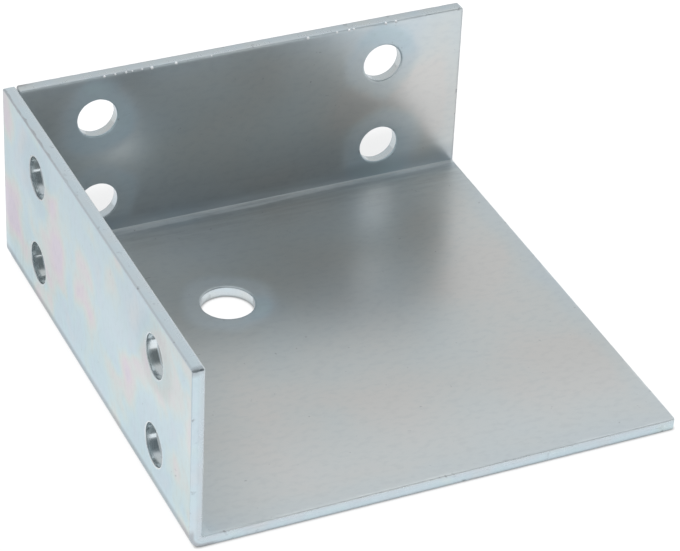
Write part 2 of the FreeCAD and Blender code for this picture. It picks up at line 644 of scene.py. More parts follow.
    def folded(self, points: Array, folds: Array, depth: Array) -> Array:
        """Folds points of the blank into space.

        The way s past the bend's start is first wound on a quarter circle about the bend's
        axis: the angle is s over the outer radius, and the circle's radius is the outer
        radius less the depth. What is left of the way then runs straight up.

        Args:
            points: places on the blank.
            folds: value of the Fold that each point goes through.
            depth: distance of each point from the outer skin.

        Returns:
            The places in space, in millimetres.
        """
        left = folds == Fold.LEFT.value
        way = np.where(left, self.left_bend - points[:, 0], points[:, 1] - self.back_bend)
        way = np.maximum(way, 0.0)
        angle = np.minimum(way / self.bend_radius, QUARTER)
        rise = way - angle * self.bend_radius
        radius = self.bend_radius - depth
        out = radius * np.sin(angle)
        x = np.where(left, np.maximum(points[:, 0], self.left_bend) - out, points[:, 0])
        y = np.where(left, points[:, 1], np.minimum(points[:, 1], self.back_bend) + out)
        z = self.bend_radius - radius * np.cos(angle) + rise
        return np.stack([x, y, z], axis=-1)

    def hole_centres(self) -> list[tuple[float, float, float]]:
        """Holes of the whole blank.

        Returns:
            (across, up, radius) of each hole.
        """
        holes = [(0.0, 0.0, self.leg_hole)]
        holes += [(self.left_bend - self.wall(z), y, self.screw_hole)
                  for y in self.left_columns for z in self.left_rows]
        holes += [(x, self.back_bend + self.wall(z), self.screw_hole)
                  for x in self.back_columns for z in self.back_rows]
        return holes

    def run_up(self) -> Run:
        """Lines from the front edge to the back bend, past the left wall's holes.

        Returns:
            The run of lines.
        """
        (near, far), side, leg = self.left_columns, self.hole_frame, self.leg_frame
        return Run((self.front_edge + self.edge_round, near - side, near + side, -leg,
                    far - side, far + side, self.relief_front, self.back_bend), self.gaps_up)

    def run_across(self) -> Run:
        """Lines from beside the relief to the right edge, past the back wall's holes.

        Returns:
            The run of lines.
        """
        (near, far), side, leg = self.back_columns, self.hole_frame, self.leg_frame
        return Run((self.relief_left, self.relief_right + self.relief_frame, near - side, -leg,
                    leg, far - side, far + side, self.right_edge - self.edge_round),
                   self.gaps_across)

    def run_out(self) -> Run:
        """Lines from the left wall's top down its face and round its bend.

        Returns:
            The run of lines.
        """
        (low, high), side = self.left_rows, self.hole_frame
        heights = (self.height - self.edge_round, high + side, high - side, low + side,
                   low - side, self.bend_radius)
        return Run((*(self.left_bend - self.wall(z) for z in heights), self.relief_left),
                   self.gaps_out)

    def run_over(self) -> Run:
        """Lines from the back bend's start up to the back wall's top.

        Returns:
            The run of lines.
        """
        (low, high), side = self.back_rows, self.hole_frame
        heights = (self.bend_radius, self.bend_radius + self.edge_round, low - side, low + side,
                   high - side, high + side, self.height - self.edge_round)
        return Run((self.back_bend, *(self.back_bend + self.wall(z) for z in heights)),
                   self.gaps_over)

    def cell(self, us: Array, vs: Array) -> list[Array]:
        """The grids of one rectangle, ruled about its hole if one lies in it.

        Args:
            us: lines across.
            vs: lines up.

        Returns:
            The grids.
        """
        for u, v, radius in self.hole_centres():
            if us.min() < u < us.max() and vs.min() < v < vs.max():
                return hole_patches(us, vs, (u, v), radius + self.edge_round, self.rings())
        return [plain_patch(us, vs)]

    def rings(self) -> Array:
        """Places of the rings about a hole: even shares from 0 to 1, raised to ring_power."""
        return np.linspace(0.0, 1.0, self.ring_gaps + 1) ** self.ring_power

    def corner_patch(self, us: Array, vs: Array, radius: float,
                     gaps: int) -> Array:
        """Grid over a rectangle with the corner at (us[-1], vs[-1]) of a rounded outline.

        Args:
            us: lines across, the last of them on the rounded corner's side.
            vs: lines up, the last of them on the rounded corner's side.
            radius: radius of the outline's corner, at the cut edge.
            gaps: gaps that each half of the arc takes.

        Returns:
            The grid of points, indexed (i, j).
        """
        return round_corner_patch(us, vs, radius - self.edge_round, gaps)

    def base_patches(self) -> list[Array]:
        """Grids of the base, with a rounded free corner and the round relief.

        Returns:
            The grids.
        """
        across, up = self.run_across().cells(), self.run_up().cells()
        patches = []
        for i, us in enumerate(across):
            for j, vs in enumerate(up):
                if i == len(across) - 1 and j == 0:
                    gaps = self.corner_gaps[0]
                    patches.append(self.corner_patch(us, vs[::-1], self.free_corner, gaps))
                elif not (i == 0 and j == len(up) - 1):
                    patches += self.cell(us, vs)
        centre, eighth = (self.left_bend + self.relief, self.back_bend), QUARTER / 2.0
        below, right, _, left = box_sides(across[0], up[-1])
        turns = (math.pi, math.pi + eighth, math.pi + 3.0 * eighth, 2.0 * math.pi)
        for side, start, end in zip((left, below, right), turns, turns[1:]):
            arc = arc_points(centre, self.relief_ring, start, end, len(side) - 1)
            patches.append(ruled_patch(arc, side, self.rings()))
        return patches

    def left_patches(self) -> list[Array]:
        """Grids of the left wall and its bend, with both top corners rounded.

        Returns:
            The grids.
        """
        end = np.linspace(self.back_bend, self.back_face - self.edge_round, self.gaps_end + 1)
        up, (_, free, seam) = [*self.run_up().cells(), end], self.corner_gaps
        patches = []
        for i, us in enumerate(self.run_out().cells()):
            for j, vs in enumerate(up):
                if i == 0 and j == 0:
                    patches.append(self.corner_patch(us[::-1], vs[::-1], self.free_corner, free))
                elif i == 0 and j == len(up) - 1:
                    patches.append(self.corner_patch(us[::-1], vs, self.seam_corner, seam))
                else:
                    patches += self.cell(us, vs)
        ring_left = self.left_bend + self.relief - self.relief_ring
        strip = self.relief_left + (ring_left - self.relief_left) * (1.0 - self.rings()[::-1])
        return [*patches, plain_patch(strip, end)]

    def back_patches(self) -> list[Array]:
        """Grids of the back wall and its bend, with both top corners rounded.

        The first two grids of the run up stop at the relief, and the others reach the seam.

        Returns:
            The grids.
        """
        seam_edge = self.left_face + self.thickness + self.seam_gap + self.edge_round
        beside = np.linspace(self.relief_right, seam_edge, self.gaps_end + 1)
        first = self.relief_right + self.relief_frame * self.rings()
        across, over = self.run_across().cells()[1:], self.run_over().cells()
        _, free, seam = self.corner_gaps
        patches = []
        for j, vs in enumerate(over):
            top = j == len(over) - 1
            patches += [plain_patch(first, vs)]
            if top:
                patches.append(self.corner_patch(beside, vs, self.seam_corner, seam))
            elif j > 1:
                patches.append(plain_patch(beside, vs))
            for i, us in enumerate(across):
                if top and i == len(across) - 1:
                    patches.append(self.corner_patch(us, vs, self.free_corner, free))
                else:
                    patches += self.cell(us, vs)
        return patches

    def blank(self) -> Blank:
        """The whole blank: plain grids, with ruled grids about the holes and the relief.

        Returns:
            The flat blank.
        """
        parts = ((self.base_patches(), Fold.LEFT), (self.left_patches(), Fold.LEFT),
                 (self.back_patches(), Fold.BACK))
        return Blank.joined([(grid, fold) for patches, fold in parts for grid in patches])

    def cut_profile(self) -> Array:
        """Profile of a sheared edge, from the inner skin's outline to the outer skin's.

        A quarter circle where the punch drew the inner skin down, a straight burnished band,
        a broken band that leans in by break_slope, a small quarter circle, and a short flat
        on the outer skin.

        Returns:
            Rows of the distance out from the face's outline and the depth.
        """
        r, b, t = self.edge_round, self.burr_round, self.thickness
        drawn_gaps, bright_gaps, broken_gaps, burr_gaps = self.profile_gaps
        a = np.linspace(0.0, QUARTER, drawn_gaps + 1)
        drawn = np.stack([r * np.sin(a), t - r + r * np.cos(a)], axis=-1)
        end = r - self.break_slope
        a = np.linspace(0.0, QUARTER, burr_gaps + 1)
        burr = np.stack([end - b + b * np.cos(a), b - b * np.sin(a)], axis=-1)
        bright = segment((r, t - r), (r, self.break_depth), bright_gaps)[1:]
        broken = segment((r, self.break_depth), (end, b), broken_gaps)[1:-1]
        return np.vstack([drawn, bright, broken, burr, [[0.0, 0.0]]])

    def shell(self) -> Shell:
        """The two skins, with the profile of the cut edge carried round every border.

        A rim point is the border's point, plus its way out times the profile's distance
        out, less the share of that distance by which the shears wandered in. The points
        are numbered through the inner skin, the outer skin and then the rims, one for each
        row between the profile's ends.

        Returns:
            The closed surface.
        """
        blank = self.blank()
        edges, rim, way_out = blank.border()
        count, border = len(blank.points), blank.points[rim]
        edge_way, outline = self.edge_way(blank, edges), self.on_outline(border)
        kept_share = 1.0 - self.edge_wander(border)[:, None] / self.edge_round
        points, folds = [blank.points] * 2, [blank.folds] * 2
        depth = [np.full(count, self.thickness), np.zeros(count)]
        ways, rings, profile = [edge_way] * 2, [rim], self.cut_profile()
        for k, (out, down) in enumerate(profile[1:-1]):
            points.append(border + out * kept_share * way_out)
            folds.append(blank.folds[rim])
            depth.append(np.full(len(rim), down))
            ways.append(edge_way[rim] - out * outline)
            rings.append(2 * count + k * len(rim) + np.arange(len(rim)))
        rings.append(rim + count)
        start, end = np.searchsorted(rim, edges[:, 0]), np.searchsorted(rim, edges[:, 1])
        walls = [np.stack([upper[end], upper[start], lower[start], lower[end]], axis=-1)
                 for upper, lower in zip(rings, rings[1:])]
        quads = np.vstack([blank.quads, blank.quads[:, ::-1] + count, *walls])
        drawn_rows = int((profile[:, 1] > self.thickness - self.edge_round + NEAR).sum())
        dress = np.full(len(quads), Dress.CUT.value, dtype=np.int32)
        dress[:2 * len(blank.quads) + drawn_rows * len(edges)] = Dress.SKIN.value
        return Shell(np.vstack(points), np.concatenate(folds), np.concatenate(depth),
                     np.concatenate(ways), quads, dress)

    def fields(self, shell: Shell) -> dict[str, Array]:
        """What the finishes read from the mesh: distances in millimetres, and the spots.

        Args:
            shell: the closed surface.

        Returns:
            The values at each point, by the field's name.
        """
        return {
            "hole_way": self.hole_way(shell.points),
            "edge_way": shell.edge_way,
            "bend_way": self.bend_way(shell.points, shell.folds),
            "film": self.spots(shell, self.film_spots),
            "shade": self.spots(shell, self.shade_and_frost_spots),
        }

    def build(self, skin: bpy.types.Material, cut: bpy.types.Material) -> bpy.types.Object:
        """Folds the shell into its mesh and dresses it.

        Args:
            skin: finish of the two skins.
            cut: finish of the cut edges.

        Returns:
            The new piece.
        """
        shell = self.shell()
        places = self.folded(shell.points, shell.folds, shell.depth) * MM
        mesh = new_mesh("folded_sheet", places, shell.quads)
        mesh.materials.append(skin)
        mesh.materials.append(cut)
        mesh.polygons.foreach_set("material_index", shell.dress)
        for name, values in self.fields(shell).items():
            mesh.attributes.new(name, "FLOAT", "POINT").data.foreach_set(
                "value", values.astype(np.float32))
        sheet = np.column_stack([shell.points, shell.depth]) * MM
        mesh.attributes.new("sheet", "FLOAT_VECTOR", "POINT").data.foreach_set(
            "vector", sheet.astype(np.float32).ravel())
        return new_piece("folded_sheet", mesh)

    def edge_wander(self, points: Array) -> Array:
        """How far the shears wandered in at each point: the mean of the sines, squared.

        Args:
            points: border points in the blank.

        Returns:
            The ways in.
        """
        way = points @ np.array(self.wave_way)
        wave = sum(np.sin(way * rate + shift) for rate, shift in self.waves)
        return self.wander * (wave / len(self.waves)) ** 2

    def hole_way(self, points: Array) -> Array:
        """Distance from each point of the blank to the nearest hole's rim."""
        holes = np.array(self.hole_centres())
        return (np.linalg.norm(points[:, None] - holes[:, :2], axis=-1) - holes[:, 2]).min(axis=1)

    def on_outline(self, points: Array) -> Array:
        """Whether each border point lies on the outline, and not about a hole."""
        return self.hole_way(points) > self.edge_round + NEAR

    def edge_way(self, blank: Blank, edges: Array) -> Array:
        """Distance from each point of the blank to the nearest outer cut edge.

        The nearest point of a border edge is its start plus a share of it, and the share is
        the projection on the edge, kept between 0 and 1. The points are taken in batches, to
        save memory.

        Args:
            blank: the flat blank.
            edges: its free edges.

        Returns:
            The distances.
        """
        batches = 24
        start, end = blank.points[edges[:, 0]], blank.points[edges[:, 1]]
        outer = self.on_outline(start)
        start, along = start[outer], (end - start)[outer]
        square = (along ** 2).sum(axis=1)
        nearest = []
        for part in np.array_split(blank.points, batches):
            way = part[:, None] - start
            share = np.clip((way * along).sum(axis=-1) / square, 0.0, 1.0)
            nearest.append(np.linalg.norm(way - share[..., None] * along, axis=-1).min(axis=1))
        return np.concatenate(nearest) + self.edge_round

    def bend_way(self, points: Array, folds: Array) -> Array:
        """Distance over the sheet from each point to the middle of the nearest bend.

        Args:
            points: points of the blank.
            folds: the fold that takes each of them.

        Returns:
            The distances.
        """
        middle = self.bend_radius * QUARTER / 2.0
        to_left = np.abs(points[:, 0] - self.left_bend + middle)
        to_back = np.abs(points[:, 1] - self.back_bend - middle)
        flat = (points[:, 0] > self.left_bend) & (points[:, 1] < self.back_bend)
        own = np.where(folds == Fold.LEFT.value, to_left, to_back)
        return np.where(flat, np.minimum(to_left, to_back), own)

    def spots(self, shell: Shell, spots: tuple[Spot, ...]) -> Array:
        """Sum of the spots at each point: each is its strength times exp(-way squared).

        The way is the distance from the spot's middle over its reach.

        Args:
            shell: the closed surface.
            spots: the spots.

        Returns:
            The summed strengths.
        """
        total = np.zeros(len(shell.points))
        inner = shell.depth > self.thickness / 2.0
        for spot in spots:
            middle = {
                Wall.BASE: (spot.along, spot.up),
                Wall.LEFT: (self.left_bend - self.wall(spot.up), spot.along),
                Wall.BACK: (spot.along, self.back_bend + self.wall(spot.up)),
            }[spot.wall]
            way = ((shell.points - middle) ** 2).sum(axis=1) / spot.reach ** 2
            total += np.where(inner == spot.inner, spot.strength * np.exp(-way), 0.0)
        return total


@dataclass(frozen=True)
class PlatingBeads:
    """Beads of zinc that the plating bath left on the sharp top edges, finished near white as
    painted glints.

    Attributes:
        back_top: places along the back wall's inner top edge, and sizes.
        front: places along the base's front top edge, and sizes.
        back_edge: (y, z) of the back wall's inner top edge.
        front_edge: (y, z) of the base's front top edge.
        back_sunk: (y, z) by which a bead lies off the back edge, in its own sizes.
        front_sunk: the same off the front edge.
        gaps: gaps along each side of a bead's cube.
    """

    back_top: tuple = ((-14.0, 0.27), (-11.7, 0.22), (-9.4, 0.25), (-8.1, 0.20),
                       (-3.9, 0.37), (-6.0, 0.20), (1.3, 0.35), (9.0, 0.18), (30.2, 0.33),
                       (36.7, 0.25), (39.4, 0.31), (40.5, 0.26), (47.7, 0.33), (50.0, 0.30))
    front: tuple = ((-22.5, 0.18), (7.1, 0.22), (20.8, 0.17))
    back_edge: tuple[float, float] = (32.30, 39.90)
    front_edge: tuple[float, float] = (-66.10, 2.36)
    back_sunk: tuple[float, float] = (0.0, -0.75)
    front_sunk: tuple[float, float] = (0.8, -0.5)
    gaps: int = 3

    def places(self) -> Array:
        """Places of the beads: the edge's place plus what a bead is sunk times its size.

        Returns:
            (x, y, z, size) of each bead.
        """
        rows = ((self.back_top, self.back_edge, self.back_sunk),
                (self.front, self.front_edge, self.front_sunk))
        return np.array([(x, edge[0] + sunk[0] * size, edge[1] + sunk[1] * size, size)
                         for beads, edge, sunk in rows for x, size in beads])

    def build(self, finish: bpy.types.Material) -> bpy.types.Object:
        """Makes all beads as one mesh: each is a unit ball times its size, plus its place.

        Args:
            finish: finish of the beads.

        Returns:
            The new piece.
        """
        places = self.places()
        ball, quads = cube_ball(self.gaps)
        points = places[:, None, :3] + places[:, None, 3:] * ball
        numbers = np.arange(len(places))[:, None, None] * len(ball) + quads
        mesh = new_mesh("plating_beads", points.reshape(-1, 3) * MM, numbers.reshape(-1, 4))
        mesh.materials.append(finish)
        return new_piece("plating_beads", mesh)


@dataclass(frozen=True)
class PhotoCamera:
    """Camera at the photographed viewing angle.

    Attributes:
        place: where it stands, in millimetres.
        azimuth: turn about the vertical, in degrees. 0 looks along +Y.
        elevation: height above the horizon, in degrees.
        roll: turn about the line of sight, in degrees.
        lens: focal length, in millimetres.
        sensor: width of the sensor, in millimetres.
        clip: nearest and farthest distance that it sees, in metres.
    """

    place: tuple[float, float, float] = (-199.445, -468.253, 359.878)
    azimuth: float = -25.565
    elevation: float = 34.507
    roll: float = 2.757
    lens: float = 164.757
    sensor: float = 36.0
    clip: tuple[float, float] = (0.01, 50.0)

    def build(self) -> None:
        """Makes the camera and gives it to the scene."""
        az, el, roll = (math.radians(a) for a in (self.azimuth, self.elevation, self.roll))
        back = Vector((math.sin(az) * math.cos(el), -math.cos(az) * math.cos(el), math.sin(el)))
        right = Vector((math.cos(az), math.sin(az), 0.0))
        up = back.cross(right)
        across = right * math.cos(roll) + up * math.sin(roll)
        upward = up * math.cos(roll) - right * math.sin(roll)
        data = bpy.data.cameras.new("camera")
        data.sensor_width, data.lens = self.sensor, self.lens
        data.clip_start, data.clip_end = self.clip
        camera = bpy.data.objects.new("camera", data)
        camera.matrix_world = Matrix.Translation(Vector(self.place) * MM) @ Matrix(
            (across, upward, back)).transposed().to_4x4()
        bpy.context.scene.collection.objects.link(camera)
        bpy.context.scene.camera = camera


@dataclass(frozen=True)
class Noise:
    """A noise from 0 to 1 over the sheet.

    Attributes:
        scale: how many of its waves go to the metre.
        detail: how many finer noises are laid over it.
        swirl: how much it is distorted.
        sizes: what each part of the place is multiplied by first. The noise is drawn out
            the way where that is under 1.
    """

    scale: float
    detail: float = 2.0
    swirl: float = 0.0
    sizes: tuple[float, float, float] | None = None


class ShaderTree:
    """Short hand for filling a node tree: adds nodes, sets their inputs and links them."""

    def __init__(self, tree: bpy.types.NodeTree) -> None:
        """Takes over the tree and empties it."""
        self.tree = tree
        tree.nodes.clear()

    @classmethod
    def of_material(cls, name: str) -> tuple["ShaderTree", bpy.types.Material]:
        """Makes a material and takes over its tree.

        Args:
            name: name of the material.

        Returns:
            The emptied tree and its material.
        """
        material = bpy.data.materials.new(name)
        material.use_nodes = True
        return cls(material.node_tree), material

    def add(self, kind: str, inputs: dict | None = None, **settings: object) -> bpy.types.Node:
        """Adds a node.

        Args:
            kind: the node's type, without "ShaderNode" in front.
            inputs: what goes into its sockets, by name or number: a value or an output.
            settings: the node's own settings.

        Returns:
            The new node.
        """
        node = self.tree.nodes.new(kind if kind.startswith("Node") else "ShaderNode" + kind)
        for name, value in settings.items():
            setattr(node, name, value)
        for name, value in (inputs or {}).items():
            socket = node.inputs[name]
            if isinstance(value, Socket):
                self.tree.links.new(value, socket)
            else:
                socket.default_value = value
        return node

    def link(self, output: Socket, node: bpy.types.Node, name: str) -> None:
        """Links an output to a node's input."""
        self.tree.links.new(output, node.inputs[name])

    def math(self, operation: str, *values: object) -> Socket:
        """Output of a Math node over the values."""
        return self.add("Math", dict(enumerate(values)), operation=operation).outputs[0]

    def chain(self, operation: str, values: tuple) -> Socket:
        """Output of a chain of Math nodes that takes in one value after another.

        Args:
            operation: kind of the Math nodes.
            values: what they take in.

        Returns:
            The last node's output.
        """
        result = values[0]
        for value in values[1:]:
            result = self.math(operation, result, value)
        return result

    def total(self, *values: object) -> Socket:
        """Sum of the values."""
        return self.chain("ADD", values)

    def product(self, *values: object) -> Socket:
        """Product of the values."""
        return self.chain("MULTIPLY", values)

    def most(self, *values: object) -> Socket:
        """Largest of the values."""
        return self.chain("MAXIMUM", values)

    def shifted(self, value: object, share: float, by: object) -> Socket:
        """The value plus a share of another, which makes its outlines ragged."""
        return self.math("MULTIPLY_ADD", by, share, value)

    def step(self, value: object, low: float, high: float, to_low: float = 0.0,
             to_high: float = 1.0) -> Socket:
        """Soft step over a value, which may also run down.

        Args:
            value: what the step is over.
            low: where it starts.
            high: where it ends.
            to_low: what it gives before the start.
            to_high: what it gives past the end.

        Returns:
            The node's output.
        """
        inputs = {"Value": value, "From Min": low, "From Max": high,
                  "To Min": to_low, "To Max": to_high}
        return self.add("MapRange", inputs, interpolation_type="SMOOTHSTEP").outputs["Result"]

    def mix(self, share: object, first: object, last: object) -> Socket:
        """Value between first and last."""
        inputs = {"Factor": share, "A": first, "B": last}
        return self.add("Mix", inputs, data_type="FLOAT").outputs[0]

    def tint(self, share: object, colour: object, other: object) -> Socket:
        """Colour between one and another. Sockets 6 and 7 of a Mix node are its colours."""
        inputs = {"Factor": share, 6: colour, 7: other}
        return self.add("Mix", inputs, data_type="RGBA").outputs[2]

    def noise(self, place: object, noise: Noise) -> Socket:
        """The noise at a place in metres.

        Args:
            place: place in metres.
            noise: the noise.

        Returns:
            The node's output.
        """
        if noise.sizes:
            place = self.stretched(place, noise.sizes)
        inputs = {"Vector": place, "Scale": noise.scale, "Detail": noise.detail,
                  "Distortion": noise.swirl}
        return self.add("TexNoise", inputs).outputs["Fac"]

    def centred(self, place: object, noise: Noise) -> Socket:
        """The noise less a half, so that it lies about nought."""
        return self.math("SUBTRACT", self.noise(place, noise), 0.5)

    def field(self, name: str, output: str = "Fac") -> Socket:
        """A field of the mesh, by its attribute's name."""
        return self.add("Attribute", attribute_name=name).outputs[output]

    def stretched(self, place: object, sizes: tuple) -> Socket:
        """The place with each of its coordinates multiplied."""
        return self.add("VectorMath", {0: place, 1: sizes}, operation="MULTIPLY").outputs[0]

    def use(self, group: bpy.types.NodeTree, inputs: dict) -> Socket:
        """Places a node group, and gives its output."""
        return self.add("Group", inputs, node_tree=group).outputs[0]


def new_group(name: str, inputs: dict[str, float | tuple],
              outputs: dict[str, str]) -> tuple[ShaderTree, dict, bpy.types.Node]:
    """Makes a shader node group.

    Args:
        name: name of the group.
        inputs: name of each input, with the value that it starts with.
        outputs: name of each output, with its kind.

    Returns:
        The group's tree, its input sockets by name, and its output node.
    """
    group = bpy.data.node_groups.new(name, "ShaderNodeTree")
    tree = ShaderTree(group)
    for key, value in inputs.items():
        kind = "NodeSocketVector" if isinstance(value, tuple) else "NodeSocketFloat"
        socket = group.interface.new_socket(name=key, in_out="INPUT", socket_type=kind)
        socket.default_value = value
    for key, kind in outputs.items():
        group.interface.new_socket(name=key, in_out="OUTPUT", socket_type=kind)
    return tree, tree.add("NodeGroupInput").outputs, tree.add("NodeGroupOutput")


@dataclass(frozen=True)
class PlatingGroups:
    """Node groups that the finishes of the skins and of the cut edges share.

    Attributes:
        film_stops: colour of the zinc under a film of each thickness, from bare to full.
        fine: finer noise of the grain. The group's fineness is its scale.
        coarse: coarser noise of the grain.
        coarse_share: its scale as a share of the fineness.
        nick_noise: noise whose peaks are the nicks.
        nick_rise: heights over the threshold at which a nick starts and is full.
    """

    film_stops: tuple = (
        (0.00, (0.765, 0.748, 0.722)),
        (0.10, (0.738, 0.755, 0.740)),
        (0.22, (0.714, 0.757, 0.760)),
        (0.36, (0.692, 0.752, 0.780)),
        (0.50, (0.650, 0.757, 0.812)),
        (0.60, (0.646, 0.773, 0.815)),
        (0.69, (0.680, 0.784, 0.786)),
        (0.77, (0.730, 0.770, 0.748)),
        (0.85, (0.765, 0.748, 0.745)),
        (0.93, (0.780, 0.712, 0.750)),
        (1.00, (0.772, 0.700, 0.770)),
    )
    fine: Noise = Noise(1.0, 2.0)
    coarse: Noise = Noise(1.0, 1.0)
    coarse_share: float = 0.21
    nick_noise: Noise = Noise(520.0, 3.0)
    nick_rise: Ramp = (0.0, 0.05)

    def film(self) -> bpy.types.NodeTree:
        """Group that turns the thickness of the passive film into the metal's colour.

        Returns:
            The group.
        """
        t, source, output = new_group("plating_film", {"Thickness": 0.0},
                                      {"Colour": "NodeSocketColor"})
        ramp = t.add("ValToRGB", {"Fac": source["Thickness"]})
        stops = ramp.color_ramp.elements
        (first, first_colour), *between, (last, last_colour) = self.film_stops
        stops[0].position, stops[1].position = first, last
        stops[0].color, stops[1].color = (*first_colour, 1.0), (*last_colour, 1.0)
        for position, colour in between:
            stops.new(position).color = (*colour, 1.0)
        t.link(ramp.outputs["Color"], output, "Colour")
        return t.tree

    def grain(self) -> bpy.types.NodeTree:
        """Group for the satin grain: fine and coarse noise, summed, about nought.

        Returns:
            The group.
        """
        t, source, output = new_group(
            "satin_grain", {"Place": (0.0, 0.0, 0.0), "Fineness": 2400.0},
            {"Grain": "NodeSocketFloat"})
        fine, coarse = (t.noise(source["Place"], noise) for noise in (self.fine, self.coarse))
        t.link(source["Fineness"], fine.node, "Scale")
        t.link(t.product(source["Fineness"], self.coarse_share), coarse.node, "Scale")
        both = t.total(t.math("SUBTRACT", fine, 0.5), t.math("SUBTRACT", coarse, 0.5))
        t.link(both, output, "Grain")
        return t.tree

    def nicks(self) -> bpy.types.NodeTree:
        """Group for dark nicks along the sheared edges: the peaks of a coarse noise.

        Returns:
            The group.
        """
        t, source, output = new_group(
            "edge_nicks", {"Place": (0.0, 0.0, 0.0), "Near": 1.0, "Threshold": 0.66},
            {"Nicks": "NodeSocketFloat"})
        peaks = t.math("SUBTRACT", t.noise(source["Place"], self.nick_noise), source["Threshold"])
        t.link(t.product(t.step(peaks, *self.nick_rise), source["Near"]), output, "Nicks")
        return t.tree


class SheetGround:
    """What the effects read from the sheet's mesh, as outputs in one material's tree.

    Attributes:
        t: the material's tree.
        place: place on the blank and depth, in metres, for the noises.
        across: place across the blank, in millimetres.
        up: place up the blank.
        depth: distance from the outer skin.
        hole: distance to the nearest hole's rim.
    """

    def __init__(self, t: ShaderTree) -> None:
        """Adds the nodes that read the mesh.

        Args:
            t: the material's tree.
        """
        self.t, self.place = t, t.field("sheet", "Vector")
        drawn = t.stretched(self.place, (1.0 / MM, 1.0 / MM, 1.0 / MM))
        self.across, self.up, self.depth = t.add("SeparateXYZ", {0: drawn}).outputs
        self.hole = t.field("hole_way")


class SkinGround(SheetGround):
    """The sheet's places and distances, with the noises and masks that the skins share.

    Attributes:
        edge: distance to the nearest outer cut edge, in millimetres.
        bend: distance to the middle of the nearest bend.
        inner: 1 on the inner skin and 0 on the outer skin.
        cloud: broad noise about nought.
        blotch: middling noise about nought.
        fine: fine noise about nought.
        rolled: fine noise from 0 to 1, drawn out along the back fold.
        halo: 1 beside a hole, fading with a ragged outline.
    """

    CLOUD = Noise(42.0, 2.0, 0.2)
    BLOTCH = Noise(95.0, 1.5, 0.4)
    FINE = Noise(800.0, 3.0, 0.0, (0.6, 1.0, 1.0))
    ROLLED = Noise(760.0, 3.0, 0.0, (0.10, 1.0, 1.0))
    INNER_DEPTH: Ramp = (1.1, 1.4)
    HALO_REACH: Ramp = (6.0, 2.4)
    HALO_RAGGED = 5.0

    def __init__(self, t: ShaderTree) -> None:
        """Adds the nodes that read the mesh, and the shared noises and masks.

        Args:
            t: the material's tree.
        """
        super().__init__(t)
        self.edge, self.bend = t.field("edge_way"), t.field("bend_way")
        self.inner = t.step(self.depth, *self.INNER_DEPTH)
        self.cloud = t.centred(self.place, self.CLOUD)
        self.blotch = t.centred(self.place, self.BLOTCH)
        self.fine = t.centred(self.place, self.FINE)
        self.rolled = t.noise(self.place, self.ROLLED)
        ragged = t.shifted(self.hole, self.HALO_RAGGED, self.blotch)
        self.halo = t.step(ragged, *self.HALO_REACH)


@dataclass(frozen=True)
class Patch:
    """Soft patch of the sheet: the product of its soft steps and its strength.

    Attributes:
        across: steps over the place across the blank.
        up: steps over the place up the blank.
        depth: steps over the distance from the outer skin.
        strength: how strong the patch is where it is full.
    """

    across: tuple[Ramp, ...] = ()
    up: tuple[Ramp, ...] = ()
    depth: tuple[Ramp, ...] = ()
    strength: float = 1.0

    def mask(self, ground: SheetGround, *others: Socket) -> Socket:
        """Strength of the patch at each point.

        Args:
            ground: what the finish reads from the mesh.
            others: other masks that the patch is multiplied by.

        Returns:
            The strength.
        """
        measured = ((ground.across, self.across), (ground.up, self.up), (ground.depth, self.depth))
        steps = [ground.t.step(way, *ramp) for way, ramps in measured for ramp in ramps]
        return ground.t.product(*steps, *others, self.strength)


@dataclass(frozen=True)
class SkinFilm:
    """Thickness of the clear film on the skins, from 0 to 1.

    The inner skin's film is thin, and thicker about the holes, the cut edges and the bends.
    The outer skin's film is thick, and runs through the colours in soft blotches.

    Attributes:
        outer: mean thickness on the outer skin.
        outer_blotch: how much the blotches vary it.
        outer_cloud: how much the clouds vary it.
        inner: thickness in the middle of the inner skin.
        inner_cloud: how much the clouds vary it.
        halo: what a hole's halo adds there.
        rim: what the cut edges add there.
        rim_reach: soft step of that over the distance from a cut edge.
        rim_ragged: how far the blotches shift it.
        bend: what the bends add there.
        bend_reach: soft step of that over the distance from a bend's middle.
        fine: how much the fine noise varies both skins.
    """

    outer: float = 0.63
    outer_blotch: float = 0.95
    outer_cloud: float = 1.15
    inner: float = 0.15
    inner_cloud: float = 0.5
    halo: float = 0.20
    rim: float = 0.15
    rim_reach: Ramp = (6.5, 1.0)
    rim_ragged: float = 6.0
    bend: float = 0.18
    bend_reach: Ramp = (7.0, 2.0)
    fine: float = 0.10

    def thickness(self, ground: SkinGround) -> Socket:
        """The film's thickness, with the spots of the mesh's film field.

        Args:
            ground: what the skin reads from the mesh.

        Returns:
            The thickness.
        """
        t = ground.t
        ragged = t.shifted(ground.edge, self.rim_ragged, ground.blotch)
        thin = t.total(t.product(ground.cloud, self.inner_cloud), self.inner,
                       t.product(ground.halo, self.halo),
                       t.product(t.step(ragged, *self.rim_reach), self.rim),
                       t.product(t.step(ground.bend, *self.bend_reach), self.bend))
        thick = t.total(t.product(ground.blotch, self.outer_blotch), self.outer,
                        t.product(ground.cloud, self.outer_cloud))
        return t.total(t.mix(ground.inner, thick, thin), t.field("film"),
                       t.product(ground.fine, self.fine))


